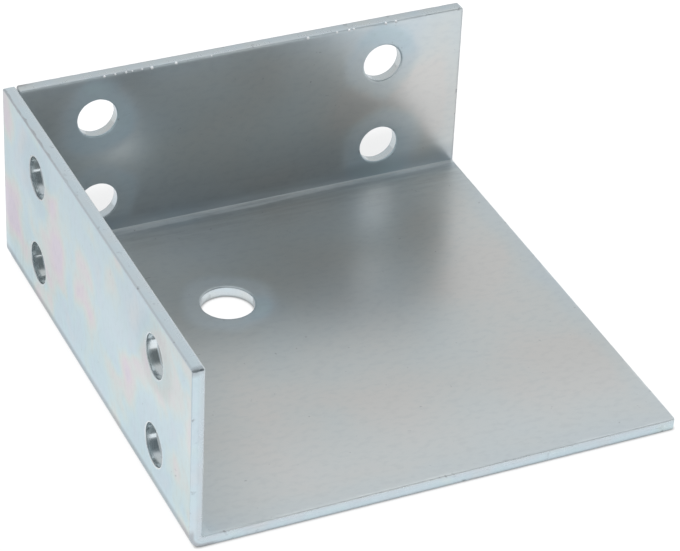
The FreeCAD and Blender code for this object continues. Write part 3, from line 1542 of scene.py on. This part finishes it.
@dataclass(frozen=True)
class SkinMarks:
    """Small dark marks of the skins: nicks near the cut edges, scratches and specks.

    Attributes:
        nick_reach: soft step of the nicks over the distance from a cut edge or a rim.
        nick_level: noise past which a nick shows, over the place up the blank.
        side_level: the same on the inner skin, over the place across the blank.
        nick: how dark the nicks are.
        scratches: noise of the scratches.
        scratch: soft step from that noise to their darkness.
        specks: noise of the specks.
        speck: soft step from that noise to their darkness.
    """

    nick_reach: Ramp = (0.75, 0.25)
    nick_level: Ramp = (0.0, 28.0, 0.66, 0.60)
    side_level: Ramp = (60.0, 64.0, 0.67, 0.61)
    nick: float = 0.6
    scratches: Noise = Noise(310.0, 3.0, 1.5, (1.0, 1.0, 9.0))
    scratch: Ramp = (0.755, 0.80, 0.0, 0.45)
    specks: Noise = Noise(1000.0, 2.0)
    speck: Ramp = (0.735, 0.78, 0.0, 0.38)

    def nicks(self, ground: SkinGround, group: bpy.types.NodeTree) -> Socket:
        """Mask of the nicks, which lie close to the holes and the cut edges.

        Args:
            ground: what the skin reads from the mesh.
            group: the group of the nicks.

        Returns:
            The mask.
        """
        t = ground.t
        nearest = t.math("MINIMUM", ground.edge, t.most(ground.hole, 0.0))
        level = t.most(t.step(ground.up, *self.nick_level),
                       t.product(ground.inner, t.step(ground.across, *self.side_level)))
        return t.use(group, {"Place": ground.place, "Near": t.step(nearest, *self.nick_reach),
                             "Threshold": level})

    def dark(self, ground: SkinGround, nicks: Socket) -> Socket:
        """How dark the marks are.

        Args:
            ground: what the skin reads from the mesh.
            nicks: mask of the nicks.

        Returns:
            The darkness.
        """
        t = ground.t
        return t.most(t.product(nicks, self.nick),
                      t.step(t.noise(ground.place, self.scratches), *self.scratch),
                      t.step(t.noise(ground.place, self.specks), *self.speck))


@dataclass(frozen=True)
class FoldHighlight:
    """Painted highlight along both folds, on a frostier band from a bend's upper part a little
    onto the base, with painted shade over it.

    Attributes:
        back: the back fold's band, but for its foot.
        foot: soft step of its foot, on the base, over the place up the blank.
        narrowed: how far the foot moves up towards the right.
        narrowing: soft step of that over the place across the blank.
        left: the left fold's band.
        broken: soft step from the rolled noise to what is left of the band.
        fold_light: how white the band's painted highlight is, over the place up the blank.
        line: painted shade in a dark line on the back wall over the band.
        upper: painted shade on the band's upper part.
        upper_band: soft step of that over the band's strength.
        dulled: how much of its mirroring the band keeps, over its strength.
    """

    back: Patch = Patch(up=((36.4, 35.8),), across=((-31.5, -30.0),))
    foot: Ramp = (29.6, 30.8)
    narrowed: float = 0.6
    narrowing: Ramp = (16.0, 40.0)
    left: Patch = Patch(across=((-36.8, -36.0), (-29.8, -30.7)), up=((32.2, 31.2),))
    broken: Ramp = (0.36, 0.58, 0.72, 1.0)
    fold_light: Ramp = (30.0, 32.2, 0.48, 0.72)
    line: Patch = Patch(up=((35.7, 36.4), (42.0, 38.4)), across=((40.0, 52.0, 1.0, 0.54),),
                        strength=0.47)
    upper: Patch = Patch(up=((31.8, 32.4),), strength=0.12)
    upper_band: Ramp = (0.2, 0.9)
    dulled: Ramp = (0.0, 1.0, 1.0, 0.68)

    def band(self, ground: SkinGround) -> Socket:
        """Mask of the band on the inner skin, broken up by the rolled noise.

        Args:
            ground: what the skin reads from the mesh.

        Returns:
            The mask.
        """
        t = ground.t
        foot = t.shifted(ground.up, -self.narrowed, t.step(ground.across, *self.narrowing))
        back = self.back.mask(ground, t.step(foot, *self.foot))
        return t.product(t.most(back, self.left.mask(ground)), ground.inner,
                         t.step(ground.rolled, *self.broken))

    def white(self, ground: SkinGround, band: Socket) -> Socket:
        """How white the band's painted highlight is."""
        # Painted highlight: the fold's bright line, whitened into the colour.
        return ground.t.product(band, ground.t.step(ground.up, *self.fold_light))

    def dark(self, ground: SkinGround, band: Socket) -> Socket:
        """How dark the painted shade of the line over the band and of the band's upper part is."""
        # Painted shade over the band's highlight and in the dark line above it.
        upper = self.upper.mask(ground, ground.t.step(band, *self.upper_band))
        return ground.t.most(self.line.mask(ground, ground.inner), upper)


@dataclass(frozen=True)
class SkinShade:
    """Soft shading of the skins: painted shade at the back wall's foot and on the left bend's
    outside, rolling streaks, mottle, and a painted sheen toward the front edge.

    Attributes:
        wall: shade at the back wall's foot.
        wall_halo: what is left of it, over the halo's strength.
        streaked: where the rolling streaks lie, on both sides of the back fold.
        streak_reach: soft step of the streaks over the distance from the fold.
        streak_dark: soft step from the rolled noise to the dark streaks.
        streak_white: the same to the white streaks.
        mottle: soft step from the fine noise to the mottle's darkness.
        contact_shade: painted shade on the left bend's outside, where it turns down to the floor.
        front: painted sheen: how white the inner skin grows to the front edge, over the place up
            the blank.
    """

    wall: Patch = Patch(up=((36.0, 39.0), (56.0, 38.0, 0.0, 0.52)), across=((56.0, 32.0),))
    wall_halo: Ramp = (0.0, 1.0, 1.0, 0.5)
    streaked: Patch = Patch(up=((16.0, 22.0), (36.5, 33.5, 0.4, 1.0)))
    streak_reach: Ramp = (17.0, 3.0)
    streak_dark: Ramp = (0.52, 0.38, 0.0, 0.09)
    streak_white: Ramp = (0.48, 0.64, 0.0, 0.20)
    mottle: Ramp = (-0.06, 0.22, 0.0, 0.07)
    contact_shade: Patch = Patch(across=((-37.5, -36.0), (-31.5, -33.0)), strength=0.50)
    front: Ramp = (-36.0, -60.0, 0.0, 0.30)

    def streaks(self, ground: SkinGround) -> Socket:
        """Mask of where the rolling streaks lie."""
        return self.streaked.mask(ground, ground.t.step(ground.bend, *self.streak_reach))

    def white(self, ground: SkinGround, streaks: Socket) -> Socket:
        """How white the streaks and the painted sheen toward the front edge are."""
        streaks = ground.t.product(streaks, ground.t.step(ground.rolled, *self.streak_white))
        # Painted sheen: the inner skin whitened toward the base's front edge.
        return ground.t.most(streaks, ground.t.step(ground.up, *self.front))

    def dark(self, ground: SkinGround, streaks: Socket,
             spots: Socket) -> Socket:
        """How dark the painted shade, the mottle and the dark streaks are, all told.

        Args:
            ground: what the skin reads from the mesh.
            streaks: mask of where the streaks lie.
            spots: the painted shade spots of the mesh's shade field.

        Returns:
            The darkness.
        """
        t = ground.t
        # Painted shade at the back wall's foot by the fold, and on the left bend's outside.
        wall = self.wall.mask(ground, t.step(ground.halo, *self.wall_halo), ground.inner)
        contact_shade = self.contact_shade.mask(ground, t.math("SUBTRACT", 1.0, ground.inner))
        return t.total(t.most(wall, spots), t.step(ground.fine, *self.mottle),
                       t.product(streaks, t.step(ground.rolled, *self.streak_dark)), contact_shade)


@dataclass(frozen=True)
class ZincSkin:
    """Finish of the sheet's skins: bright zinc under a clear film of varying thickness.

    Attributes:
        groups: the shared node groups, by name.
        film: thickness of the film.
        marks: small dark marks.
        fold_light: painted highlight and painted shade along the folds.
        shade: soft shading.
        highlight_white: near-white colour of the painted highlights and of the white rolling
            streaks, full.
        darkest: colour of the dark marks and of the painted shade, full.
        fineness: waves of the grain to the metre.
        metallic: how much of the light is mirrored.
        spot_metallic: how much less a frosty spot mirrors, in shares of its strength.
        edge_metallic: how much a cut edge mirrors.
        edge_reach: soft step to that over the distance from a cut edge.
        edge_ragged: how far the blotches shift it.
        roughness: roughness of the flat skins.
        smoothest: least roughness, under which the grain would sparkle.
        mottle: how much the grain varies the roughness.
        cloud_mottle: how much the clouds vary it, in shares of the mottle.
        worn: how much rougher the halos and the bends are.
        worn_bend: soft step of that over the distance from a bend.
        worn_top: soft step of that over the place up the blank.
        worn_halo: how much of it a halo has.
        edge_rough: how much rougher a cut edge is, over the distance from it.
        waves: noise of the sheet's own waviness.
        wave_height: height of the waves, in heights of the grain.
        nick_depth: depth of the nicks, in heights of the grain.
        bump: height of the grain, in metres.
    """

    groups: dict[str, bpy.types.NodeTree]
    film: SkinFilm = SkinFilm()
    marks: SkinMarks = SkinMarks()
    fold_light: FoldHighlight = FoldHighlight()
    shade: SkinShade = SkinShade()
    highlight_white: tuple = (0.93, 0.97, 0.98, 1.0)
    darkest: tuple = (0.30, 0.31, 0.33, 1.0)
    fineness: float = 2300.0
    metallic: float = 0.87
    spot_metallic: float = 0.5
    edge_metallic: float = 0.5
    edge_reach: Ramp = (0.55, 0.2)
    edge_ragged: float = 0.9
    roughness: float = 0.29
    smoothest: float = 0.28
    mottle: float = 0.02
    cloud_mottle: float = 4.0
    worn: float = 0.22
    worn_bend: Ramp = (28.0, 4.0)
    worn_top: Ramp = (34.0, 31.0)
    worn_halo: float = 0.5
    edge_rough: Ramp = (0.6, 0.25, 0.0, 0.2)
    waves: Noise = Noise(130.0, 2.0)
    wave_height: float = 8.0
    nick_depth: float = 2.0
    bump: float = 0.0000035

    def material(self) -> bpy.types.Material:
        """Makes the material.

        Returns:
            The material.
        """
        t, material = ShaderTree.of_material("zinc_skin")
        ground, spots = SkinGround(t), t.field("shade")
        nicks = self.marks.nicks(ground, self.groups["nicks"])
        streaks, band = self.shade.streaks(ground), self.fold_light.band(ground)
        # Painted highlight: the fold's bright band and the sheen toward the front edge, with the
        # white rolling streaks.
        white = t.most(self.fold_light.white(ground, band), self.shade.white(ground, streaks))
        # Dark marks, mottle and dark streaks, with painted shade at the wall's foot, in the shade
        # spots, on the left bend's outside and along the fold.
        dark = t.most(self.marks.dark(ground, nicks), self.shade.dark(ground, streaks, spots),
                      self.fold_light.dark(ground, band))
        colour = t.use(self.groups["film"], {"Thickness": self.film.thickness(ground)})
        colour = t.tint(t.product(white, ground.inner), colour, self.highlight_white)
        colour = t.tint(dark, colour, self.darkest)
        grain = t.use(self.groups["grain"], {"Place": ground.place, "Fineness": self.fineness})
        height = t.total(grain, t.product(t.noise(ground.place, self.waves), self.wave_height),
                         t.product(nicks, -self.nick_depth))
        bump = t.add("Bump", {"Height": height, "Strength": 1.0, "Distance": self.bump})
        metal = t.add("BsdfPrincipled", {
            "Base Color": colour, "Metallic": self.mirrored(ground, band, spots),
            "Roughness": self.rough(ground, grain), "Normal": bump.outputs[0]})
        t.add("OutputMaterial", {"Surface": metal.outputs[0]})
        return material

    def rough(self, ground: SkinGround, grain: Socket) -> Socket:
        """Roughness: the flat skins', with the clouds, the grain, the worn places and the edges.

        Args:
            ground: what the skin reads from the mesh.
            grain: the satin grain.

        Returns:
            The roughness.
        """
        t = ground.t
        bends = t.product(t.step(ground.bend, *self.worn_bend), t.step(ground.up, *self.worn_top))
        worn = t.most(bends, t.product(ground.halo, self.worn_halo))
        rough = t.total(t.product(ground.cloud, self.mottle * self.cloud_mottle),
                        t.product(grain, self.mottle), self.roughness,
                        t.product(worn, self.worn), t.step(ground.edge, *self.edge_rough))
        return t.most(rough, self.smoothest)

    def mirrored(self, ground: SkinGround, band: Socket,
                 spots: Socket) -> Socket:
        """How much of the light is mirrored: less at a cut edge, in the band and in frostier
        spots.

        Args:
            ground: what the skin reads from the mesh.
            band: mask of the fold band.
            spots: the mesh's shade field, below nought in the frostier spots.

        Returns:
            The mirrored share.
        """
        t = ground.t
        ragged = t.shifted(ground.edge, self.edge_ragged, ground.blotch)
        share = t.step(ragged, *self.edge_reach, self.metallic, self.edge_metallic)
        share = t.math("MINIMUM", share, t.step(band, *self.fold_light.dulled))
        return t.shifted(share, self.spot_metallic, t.math("MINIMUM", spots, 0.0))


class CutGround(SheetGround):
    """The sheet's places and distances, with the masks that the cut edges share.

    Attributes:
        bored: 1 on a hole's wall.
        open_edge: 1 on all other cut edges.
        left: 1 on the left wall's cut edges.
        near_end: 1 on the front edges.
        cloud: broad noise about nought.
    """

    BORED_WAY: Ramp = (0.6, 0.4)
    LEFT: Ramp = (-34.0, -40.0)
    NEAR_END: Ramp = (-64.8, -65.5)
    CLOUD = Noise(150.0, 2.0)

    def __init__(self, t: ShaderTree) -> None:
        """Adds the nodes that read the mesh, and the shared masks and noise.

        Args:
            t: the material's tree.
        """
        super().__init__(t)
        self.bored = t.step(self.hole, *self.BORED_WAY)
        self.open_edge = t.step(self.bored, 1.0, 0.0)
        self.left = t.step(self.across, *self.LEFT)
        self.near_end = t.step(self.up, *self.NEAR_END)
        self.cloud = t.centred(self.place, self.CLOUD)


@dataclass(frozen=True)
class BurrAndShadeLines:
    """Brown burr line and tarnish of the sheared edges, with painted shade at the outer skin's
    edge, on the near top corner and at the left fold's end.

    Attributes:
        line: how strong the left wall's burr line is along it.
        line_depth: soft step of it over the distance from the outer skin.
        ragged: noise that makes it ragged.
        ragged_reach: how far that shifts it.
        outer: thin dark line at the outer skin: the burr's own dark, deepened with painted shade.
        outer_upright: how strong that is, from elsewhere to the near upright edge.
        corner: painted shade on the near top corner.
        foot: painted contact shadow at the left fold's end, near the outer skin.
        tarnish: tarnish of the near end.
        bored: what is left of it all, from a hole's wall to an open edge.
        colour: colour of it all, full.
    """

    line: Patch = Patch(up=((-16.0, 16.0, 0.08, 0.50),))
    line_depth: Ramp = (1.25, 0.95)
    ragged: Noise = Noise(330.0, 3.0)
    ragged_reach: float = 1.6
    outer: Patch = Patch(depth=((0.5, 0.2),))
    outer_upright: Ramp = (0.0, 1.0, 0.24, 0.06)
    corner: Patch = Patch(across=((-71.1, -72.7),), up=((-64.5, -66.0),), strength=0.48)
    foot: Patch = Patch(across=((-27.5, -31.0), (-38.5, -36.2)), depth=((1.2, 0.4),),
                        strength=0.62)
    tarnish: Patch = Patch(depth=((0.8, 1.9, 0.10, 0.36),))
    bored: Ramp = (0.0, 1.0, 0.6, 1.0)
    colour: tuple = (0.38, 0.36, 0.37, 1.0)

    def mask(self, ground: CutGround) -> Socket:
        """How strong the lines, the tarnish and the painted shade are: the strongest of them at
        each point.

        Args:
            ground: what the cut edges read from the mesh.

        Returns:
            The strength.
        """
        t = ground.t
        ragged = t.shifted(ground.depth, self.ragged_reach, t.noise(ground.place, self.ragged))
        upright = t.product(ground.left, ground.near_end)
        # The outer line, the near top corner and the left fold's end carry painted shade and a
        # painted contact shadow.
        strongest = t.most(
            self.line.mask(ground, t.step(ragged, *self.line_depth), ground.left),
            self.outer.mask(ground, t.step(upright, *self.outer_upright)),
            self.corner.mask(ground), self.foot.mask(ground),
            self.tarnish.mask(ground, ground.near_end))
        return t.product(strongest, t.step(ground.open_edge, *self.bored))


@dataclass(frozen=True)
class ZincCutEdge:
    """Finish of the sheared edges: a bright burnished band over a dull broken one.

    The walls of the holes are burnished all over.

    Attributes:
        groups: the shared node groups, by name.
        burr: burr line, tarnish and painted shade.
        metallic: how much of the light is mirrored.
        bright: roughness of the burnished band.
        dull: roughness of the broken band.
        bored: roughness of the holes' walls.
        relief: how much the grain varies the roughness.
        broken: soft step of the broken band over the distance from the outer skin.
        broken_ragged: how far the clouds shift it.
        film: mean thickness of the film.
        spread: how much the clouds vary it.
        far_film: how much it thins, over the place up the blank.
        bored_film: what it is less by on a hole's wall.
        near_film: what it is more by on the front edges.
        edge_glare: painted highlight: how much the open edges are whitened.
        left_edge_glare: the same from the left wall's top to its near end.
        edge_glare_colour: near-white colour of that painted highlight, full.
        nick_near: how strong the nicks are, over the distance from the outer skin.
        nick_level: noise past which a nick shows.
        nick: how dark the nicks are.
        nick_colour: colour of the nicks, full.
        nick_depth: depth of the nicks, in heights of the grain.
        stroke_sizes: what the strokes' places are multiplied by, to draw them out in depth.
        stroke_fineness: waves of the burnished band's strokes to the metre.
        fineness: waves of the broken band's grain to the metre.
        bored_bump: what is left of the bump, from an open edge to a hole's wall.
        bump: height of the grain, in metres.
    """

    groups: dict[str, bpy.types.NodeTree]
    burr: BurrAndShadeLines = BurrAndShadeLines()
    metallic: float = 0.92
    bright: float = 0.29
    dull: float = 0.46
    bored: float = 0.15
    relief: float = 0.12
    broken: Ramp = (1.55, 1.35)
    broken_ragged: float = 1.1
    film: float = 0.42
    spread: float = 0.8
    far_film: Ramp = (58.0, 64.0, 0.0, -0.12)
    bored_film: float = 0.15
    near_film: float = 0.10
    edge_glare: float = 0.08
    left_edge_glare: Ramp = (0.0, 1.0, 0.56, 0.08)
    edge_glare_colour: tuple = (0.86, 0.95, 0.99, 1.0)
    nick_near: Ramp = (0.4, 0.2, 0.35, 1.0)
    nick_level: float = 0.655
    nick: float = 0.6
    nick_colour: tuple = (0.30, 0.32, 0.34, 1.0)
    nick_depth: float = 3.0
    stroke_sizes: tuple = (1.0, 1.0, 0.12)
    stroke_fineness: float = 3200.0
    fineness: float = 4200.0
    bored_bump: Ramp = (0.0, 1.0, 1.0, 0.12)
    bump: float = 0.00002

    def material(self) -> bpy.types.Material:
        """Makes the material.

        Returns:
            The material.
        """
        t, material = ShaderTree.of_material("zinc_cut_edge")
        ground, grains = CutGround(t), self.groups["grain"]
        nicks = t.use(self.groups["nicks"], {
            "Place": ground.place, "Near": t.step(ground.depth, *self.nick_near),
            "Threshold": self.nick_level})
        broken = t.step(t.shifted(ground.depth, self.broken_ragged, ground.cloud), *self.broken)
        strokes = t.use(grains, {"Place": t.stretched(ground.place, self.stroke_sizes),
                                 "Fineness": self.stroke_fineness})
        grain = t.use(grains, {"Place": ground.place, "Fineness": self.fineness})
        relief = t.mix(broken, strokes, grain)
        rough = t.total(t.step(broken, 0.0, 1.0, self.bright, self.dull),
                        t.product(relief, self.relief))
        height = t.product(t.shifted(relief, -self.nick_depth, nicks),
                           t.step(ground.bored, *self.bored_bump))
        bump = t.add("Bump", {"Height": height, "Strength": 1.0, "Distance": self.bump})
        metal = t.add("BsdfPrincipled", {
            "Base Color": self.colour(ground, nicks), "Metallic": self.metallic,
            "Roughness": t.mix(ground.bored, rough, self.bored), "Normal": bump.outputs[0]})
        t.add("OutputMaterial", {"Surface": metal.outputs[0]})
        return material

    def colour(self, ground: CutGround, nicks: Socket) -> Socket:
        """Colour of the zinc under its film, the painted highlight on the open edges, the burr
        lines with their painted shade, and the nicks.

        Args:
            ground: what the cut edges read from the mesh.
            nicks: mask of the nicks.

        Returns:
            The colour.
        """
        t = ground.t
        film = t.total(t.product(ground.cloud, self.spread), self.film,
                       t.step(ground.up, *self.far_film),
                       t.product(ground.bored, -self.bored_film),
                       t.product(ground.near_end, self.near_film))
        colour = t.use(self.groups["film"], {"Thickness": film})
        # Painted highlight: the open edges whitened, most on the left wall's near end.
        edge_glare = t.mix(ground.left, self.edge_glare, t.step(ground.near_end, *self.left_edge_glare))
        colour = t.tint(t.product(edge_glare, ground.open_edge), colour, self.edge_glare_colour)
        colour = t.tint(self.burr.mask(ground), colour, self.burr.colour)
        return t.tint(t.product(nicks, self.nick), colour, self.nick_colour)


@dataclass(frozen=True)
class GlintBead:
    """Finish of the plating beads: near-white zinc that does not mirror, a painted glint.

    Attributes:
        grain: noise of the bead's grain.
        shaded: colour of the painted glint in the grain's hollows, with painted shade there.
        bright: colour of the painted glint on the grain's peaks.
        rough: noise at which the roughness is least and most, and both values.
        strength: strength of the bump.
        bump: height of the grain, in metres.
    """

    grain: Noise = Noise(9000.0, 1.0)
    shaded: tuple = (0.90, 0.92, 0.94, 1.0)
    bright: tuple = (1.0, 1.0, 1.0, 1.0)
    rough: Ramp = (0.3, 0.7, 0.35, 0.5)
    strength: float = 0.3
    bump: float = 0.00001

    def material(self) -> bpy.types.Material:
        """Makes the material.

        Returns:
            The material.
        """
        t, material = ShaderTree.of_material("painted_glint_bead")
        grain = t.noise(t.add("TexCoord").outputs["Object"], self.grain)
        bump = t.add("Bump", {"Height": grain, "Strength": self.strength,
                              "Distance": self.bump})
        metal = t.add("BsdfPrincipled", {
            "Base Color": t.tint(grain, self.shaded, self.bright), "Metallic": 0.0,
            "Normal": bump.outputs[0], "Roughness": t.step(grain, *self.rough)})
        t.add("OutputMaterial", {"Surface": metal.outputs[0]})
        return material


@dataclass(frozen=True)
class Fall:
    """A glow that falls off over the floor in one direction.

    Attributes:
        way: the direction.
        reach: distances that way at which the glow starts and ends falling off, in metres.
        glow: the glow before and after.
    """

    way: tuple[float, float, float]
    reach: tuple[float, float]
    glow: tuple[float, float]

    def strength(self, t: ShaderTree, place: Socket) -> Socket:
        """The glow at a place on the floor."""
        away = t.add("VectorMath", {0: place, 1: self.way}, operation="DOT_PRODUCT")
        return t.step(away.outputs["Value"], *self.reach, *self.glow)


@dataclass(frozen=True)
class Studio:
    """Plain pale floor, soft studio light and white surroundings, in metres.

    Attributes:
        floor_size: half the floor's side.
        room: colour of the surroundings that the metal mirrors.
        dark: colour of the dark patch behind the camera.
        dark_way: direction of that patch's middle.
        dark_cosines: cosines of the angles at which the patch has faded out and is full.
        floor_colour: colour of the floor for the light it scatters.
        seen_glow: part of the floor's brightness in view that doesn't depend on the light.
        seen_colour: colour of the rest, which holds the shadow.
        behind: how much the painted shadow behind the back wall dims the floor in view.
        behind_x: left and right side of that shadow, where it starts and is full.
        behind_y: its far and near side.
        far_fall: glow of the floor that the metal mirrors, from near to far.
        side_fall: the same beside the left wall.
        mirrored_colour: colour of the rest of the floor that the metal mirrors.
        seen_reach: distance from the bracket in which the floor in view dims.
        mirrored_reach: the same distance for the floor as the metal mirrors it.
        dimming_rays: rays from a place on the floor that look for the bracket.
        lamp_size: sides of the lamp overhead.
        lamp_place: place of the lamp.
        lamp_glow: brightness of the lamp's face.
    """

    floor_size: float = 4.0
    room: tuple = (0.62, 0.64, 0.655, 1.0)
    dark: tuple = (0.122, 0.144, 0.154, 1.0)
    dark_way: tuple = (0.355, -0.743, 0.567)
    dark_cosines: tuple = (0.64, 0.94)
    floor_colour: tuple = (0.8, 0.8, 0.8, 1.0)
    seen_glow: float = 0.88
    seen_colour: tuple = (0.20, 0.20, 0.20, 1.0)
    behind: float = 0.22
    behind_x: tuple[Ramp, Ramp] = ((-0.026, -0.018), (0.071, 0.060))
    behind_y: tuple[Ramp, Ramp] = ((0.062, 0.046), (0.030, 0.036))
    far_fall: Fall = Fall((0.45, 0.89, 0.0), (-0.06, 0.09), (0.97, 0.64))
    side_fall: Fall = Fall((-0.98, 0.196, 0.0), (0.031, 0.062), (0.99, 0.68))
    mirrored_colour: tuple = (0.14, 0.16, 0.18, 1.0)
    seen_reach: float = 0.0006
    mirrored_reach: float = 0.0009
    dimming_rays: int = 8
    lamp_size: tuple = (2.4, 2.0)
    lamp_place: tuple = (0.0, 0.1, 1.8)
    lamp_glow: float = 1.3

    def build(self) -> None:
        """Makes the surroundings, the floor and the lamp."""
        self.surroundings()
        self.floor()
        self.lamp()

    def surroundings(self) -> None:
        """World that is white to the camera, and evenly lit but for a dark patch for all else."""
        world = bpy.data.worlds.new("surroundings")
        world.use_nodes = True
        bpy.context.scene.world = world
        t = ShaderTree(world.node_tree)
        way = t.add("TexCoord").outputs["Generated"]
        facing = t.add("VectorMath", {0: way, 1: self.dark_way}, operation="DOT_PRODUCT")
        share = t.step(facing.outputs["Value"], *self.dark_cosines)
        graded = t.add("Background", {"Color": t.tint(share, self.room, self.dark)})
        white = t.add("Background", {"Color": (1.0, 1.0, 1.0, 1.0)})
        seen = t.add("LightPath").outputs["Is Camera Ray"]
        both = t.add("MixShader", {0: seen, 1: graded.outputs[0], 2: white.outputs[0]})
        t.add("OutputWorld", {"Surface": both.outputs[0]})

    def floor(self) -> None:
        """Makes the flat floor and puts it on the stage."""
        mesh = bpy.data.meshes.new("floor")
        side = np.array([-self.floor_size, self.floor_size])
        corners = plain_patch(side, side).reshape(4, 2)
        mesh.from_pydata(np.column_stack([corners, np.zeros(4)]).tolist(), [], [(0, 2, 3, 1)])
        mesh.materials.append(self.floor_finish())
        new_piece("floor", mesh)

    def floor_finish(self) -> bpy.types.Material:
        """Pale finish, brighter in view and in mirrors than the light that it scatters.

        Returns:
            The material.
        """
        t, finish = ShaderTree.of_material("pale_floor")
        path, place = t.add("LightPath").outputs, t.add("TexCoord").outputs["Object"]
        plain = t.add("BsdfDiffuse", {"Color": self.floor_colour}).outputs[0]
        glow = t.math("MINIMUM", self.far_fall.strength(t, place),
                      self.side_fall.strength(t, place))
        mirrored = self.lit(t, glow, self.mirrored_colour, self.mirrored_reach)
        x, y, _ = t.add("SeparateXYZ", {0: place}).outputs
        # Painted shadow of the back wall on the floor behind it.
        shadow = t.product(*(t.step(y, *side) for side in self.behind_y),
                           *(t.step(x, *side) for side in self.behind_x))
        bright = t.product(t.step(shadow, 0.0, 1.0, 1.0, 1.0 - self.behind), self.seen_glow)
        seen = self.lit(t, bright, self.seen_colour, self.seen_reach)
        lower = t.add("MixShader", {0: path["Is Glossy Ray"], 1: plain, 2: mirrored})
        both = t.add("MixShader", {0: path["Is Camera Ray"], 1: lower.outputs[0], 2: seen})
        t.add("OutputMaterial", {"Surface": both.outputs[0]})
        return finish

    def lit(self, t: ShaderTree, glow: Socket, colour: tuple,
            reach: float) -> Socket:
        """A shader that scatters light and glows, less so close to the bracket.

        Args:
            t: the floor's tree.
            glow: strength of the glow on the open floor.
            colour: colour for the light that it scatters.
            reach: distance in which the bracket dims the glow, in metres.

        Returns:
            The shader.
        """
        open_sky = t.add("AmbientOcclusion", {"Distance": reach}, samples=self.dimming_rays)
        even = t.add("Emission", {"Strength": t.product(open_sky.outputs["AO"], glow)}).outputs[0]
        soft = t.add("BsdfDiffuse", {"Color": colour}).outputs[0]
        return t.add("AddShader", {0: even, 1: soft}).outputs[0]

    def lamp(self) -> None:
        """Soft box overhead, not mirrored. Its energy is its glow times its area times pi."""
        data = bpy.data.lights.new("soft_box", "AREA")
        data.shape = "RECTANGLE"
        data.size, data.size_y = self.lamp_size
        data.energy = self.lamp_glow * self.lamp_size[0] * self.lamp_size[1] * math.pi
        piece = bpy.data.objects.new("soft_box", data)
        piece.location = self.lamp_place
        piece.visible_glossy = False
        bpy.context.scene.collection.objects.link(piece)


def main() -> None:
    """Builds the camera, the bracket, its beads and the studio in order."""
    logging.basicConfig(level=logging.INFO, format="%(name)s: %(message)s")
    PhotoCamera().build()
    shared = PlatingGroups()
    groups = {"film": shared.film(), "grain": shared.grain(), "nicks": shared.nicks()}
    skin, cut = ZincSkin(groups).material(), ZincCutEdge(groups).material()
    sheet = CornerBracket.in_box(CAD_BOX).build(skin, cut)
    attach(sheet, "root")
    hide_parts("corner_bracket")
    beads = PlatingBeads().build(GlintBead().material())
    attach(beads, "root")
    Studio().build()
    bpy.context.scene.view_settings.view_transform = "Standard"


if __name__ == "__main__":
    main()
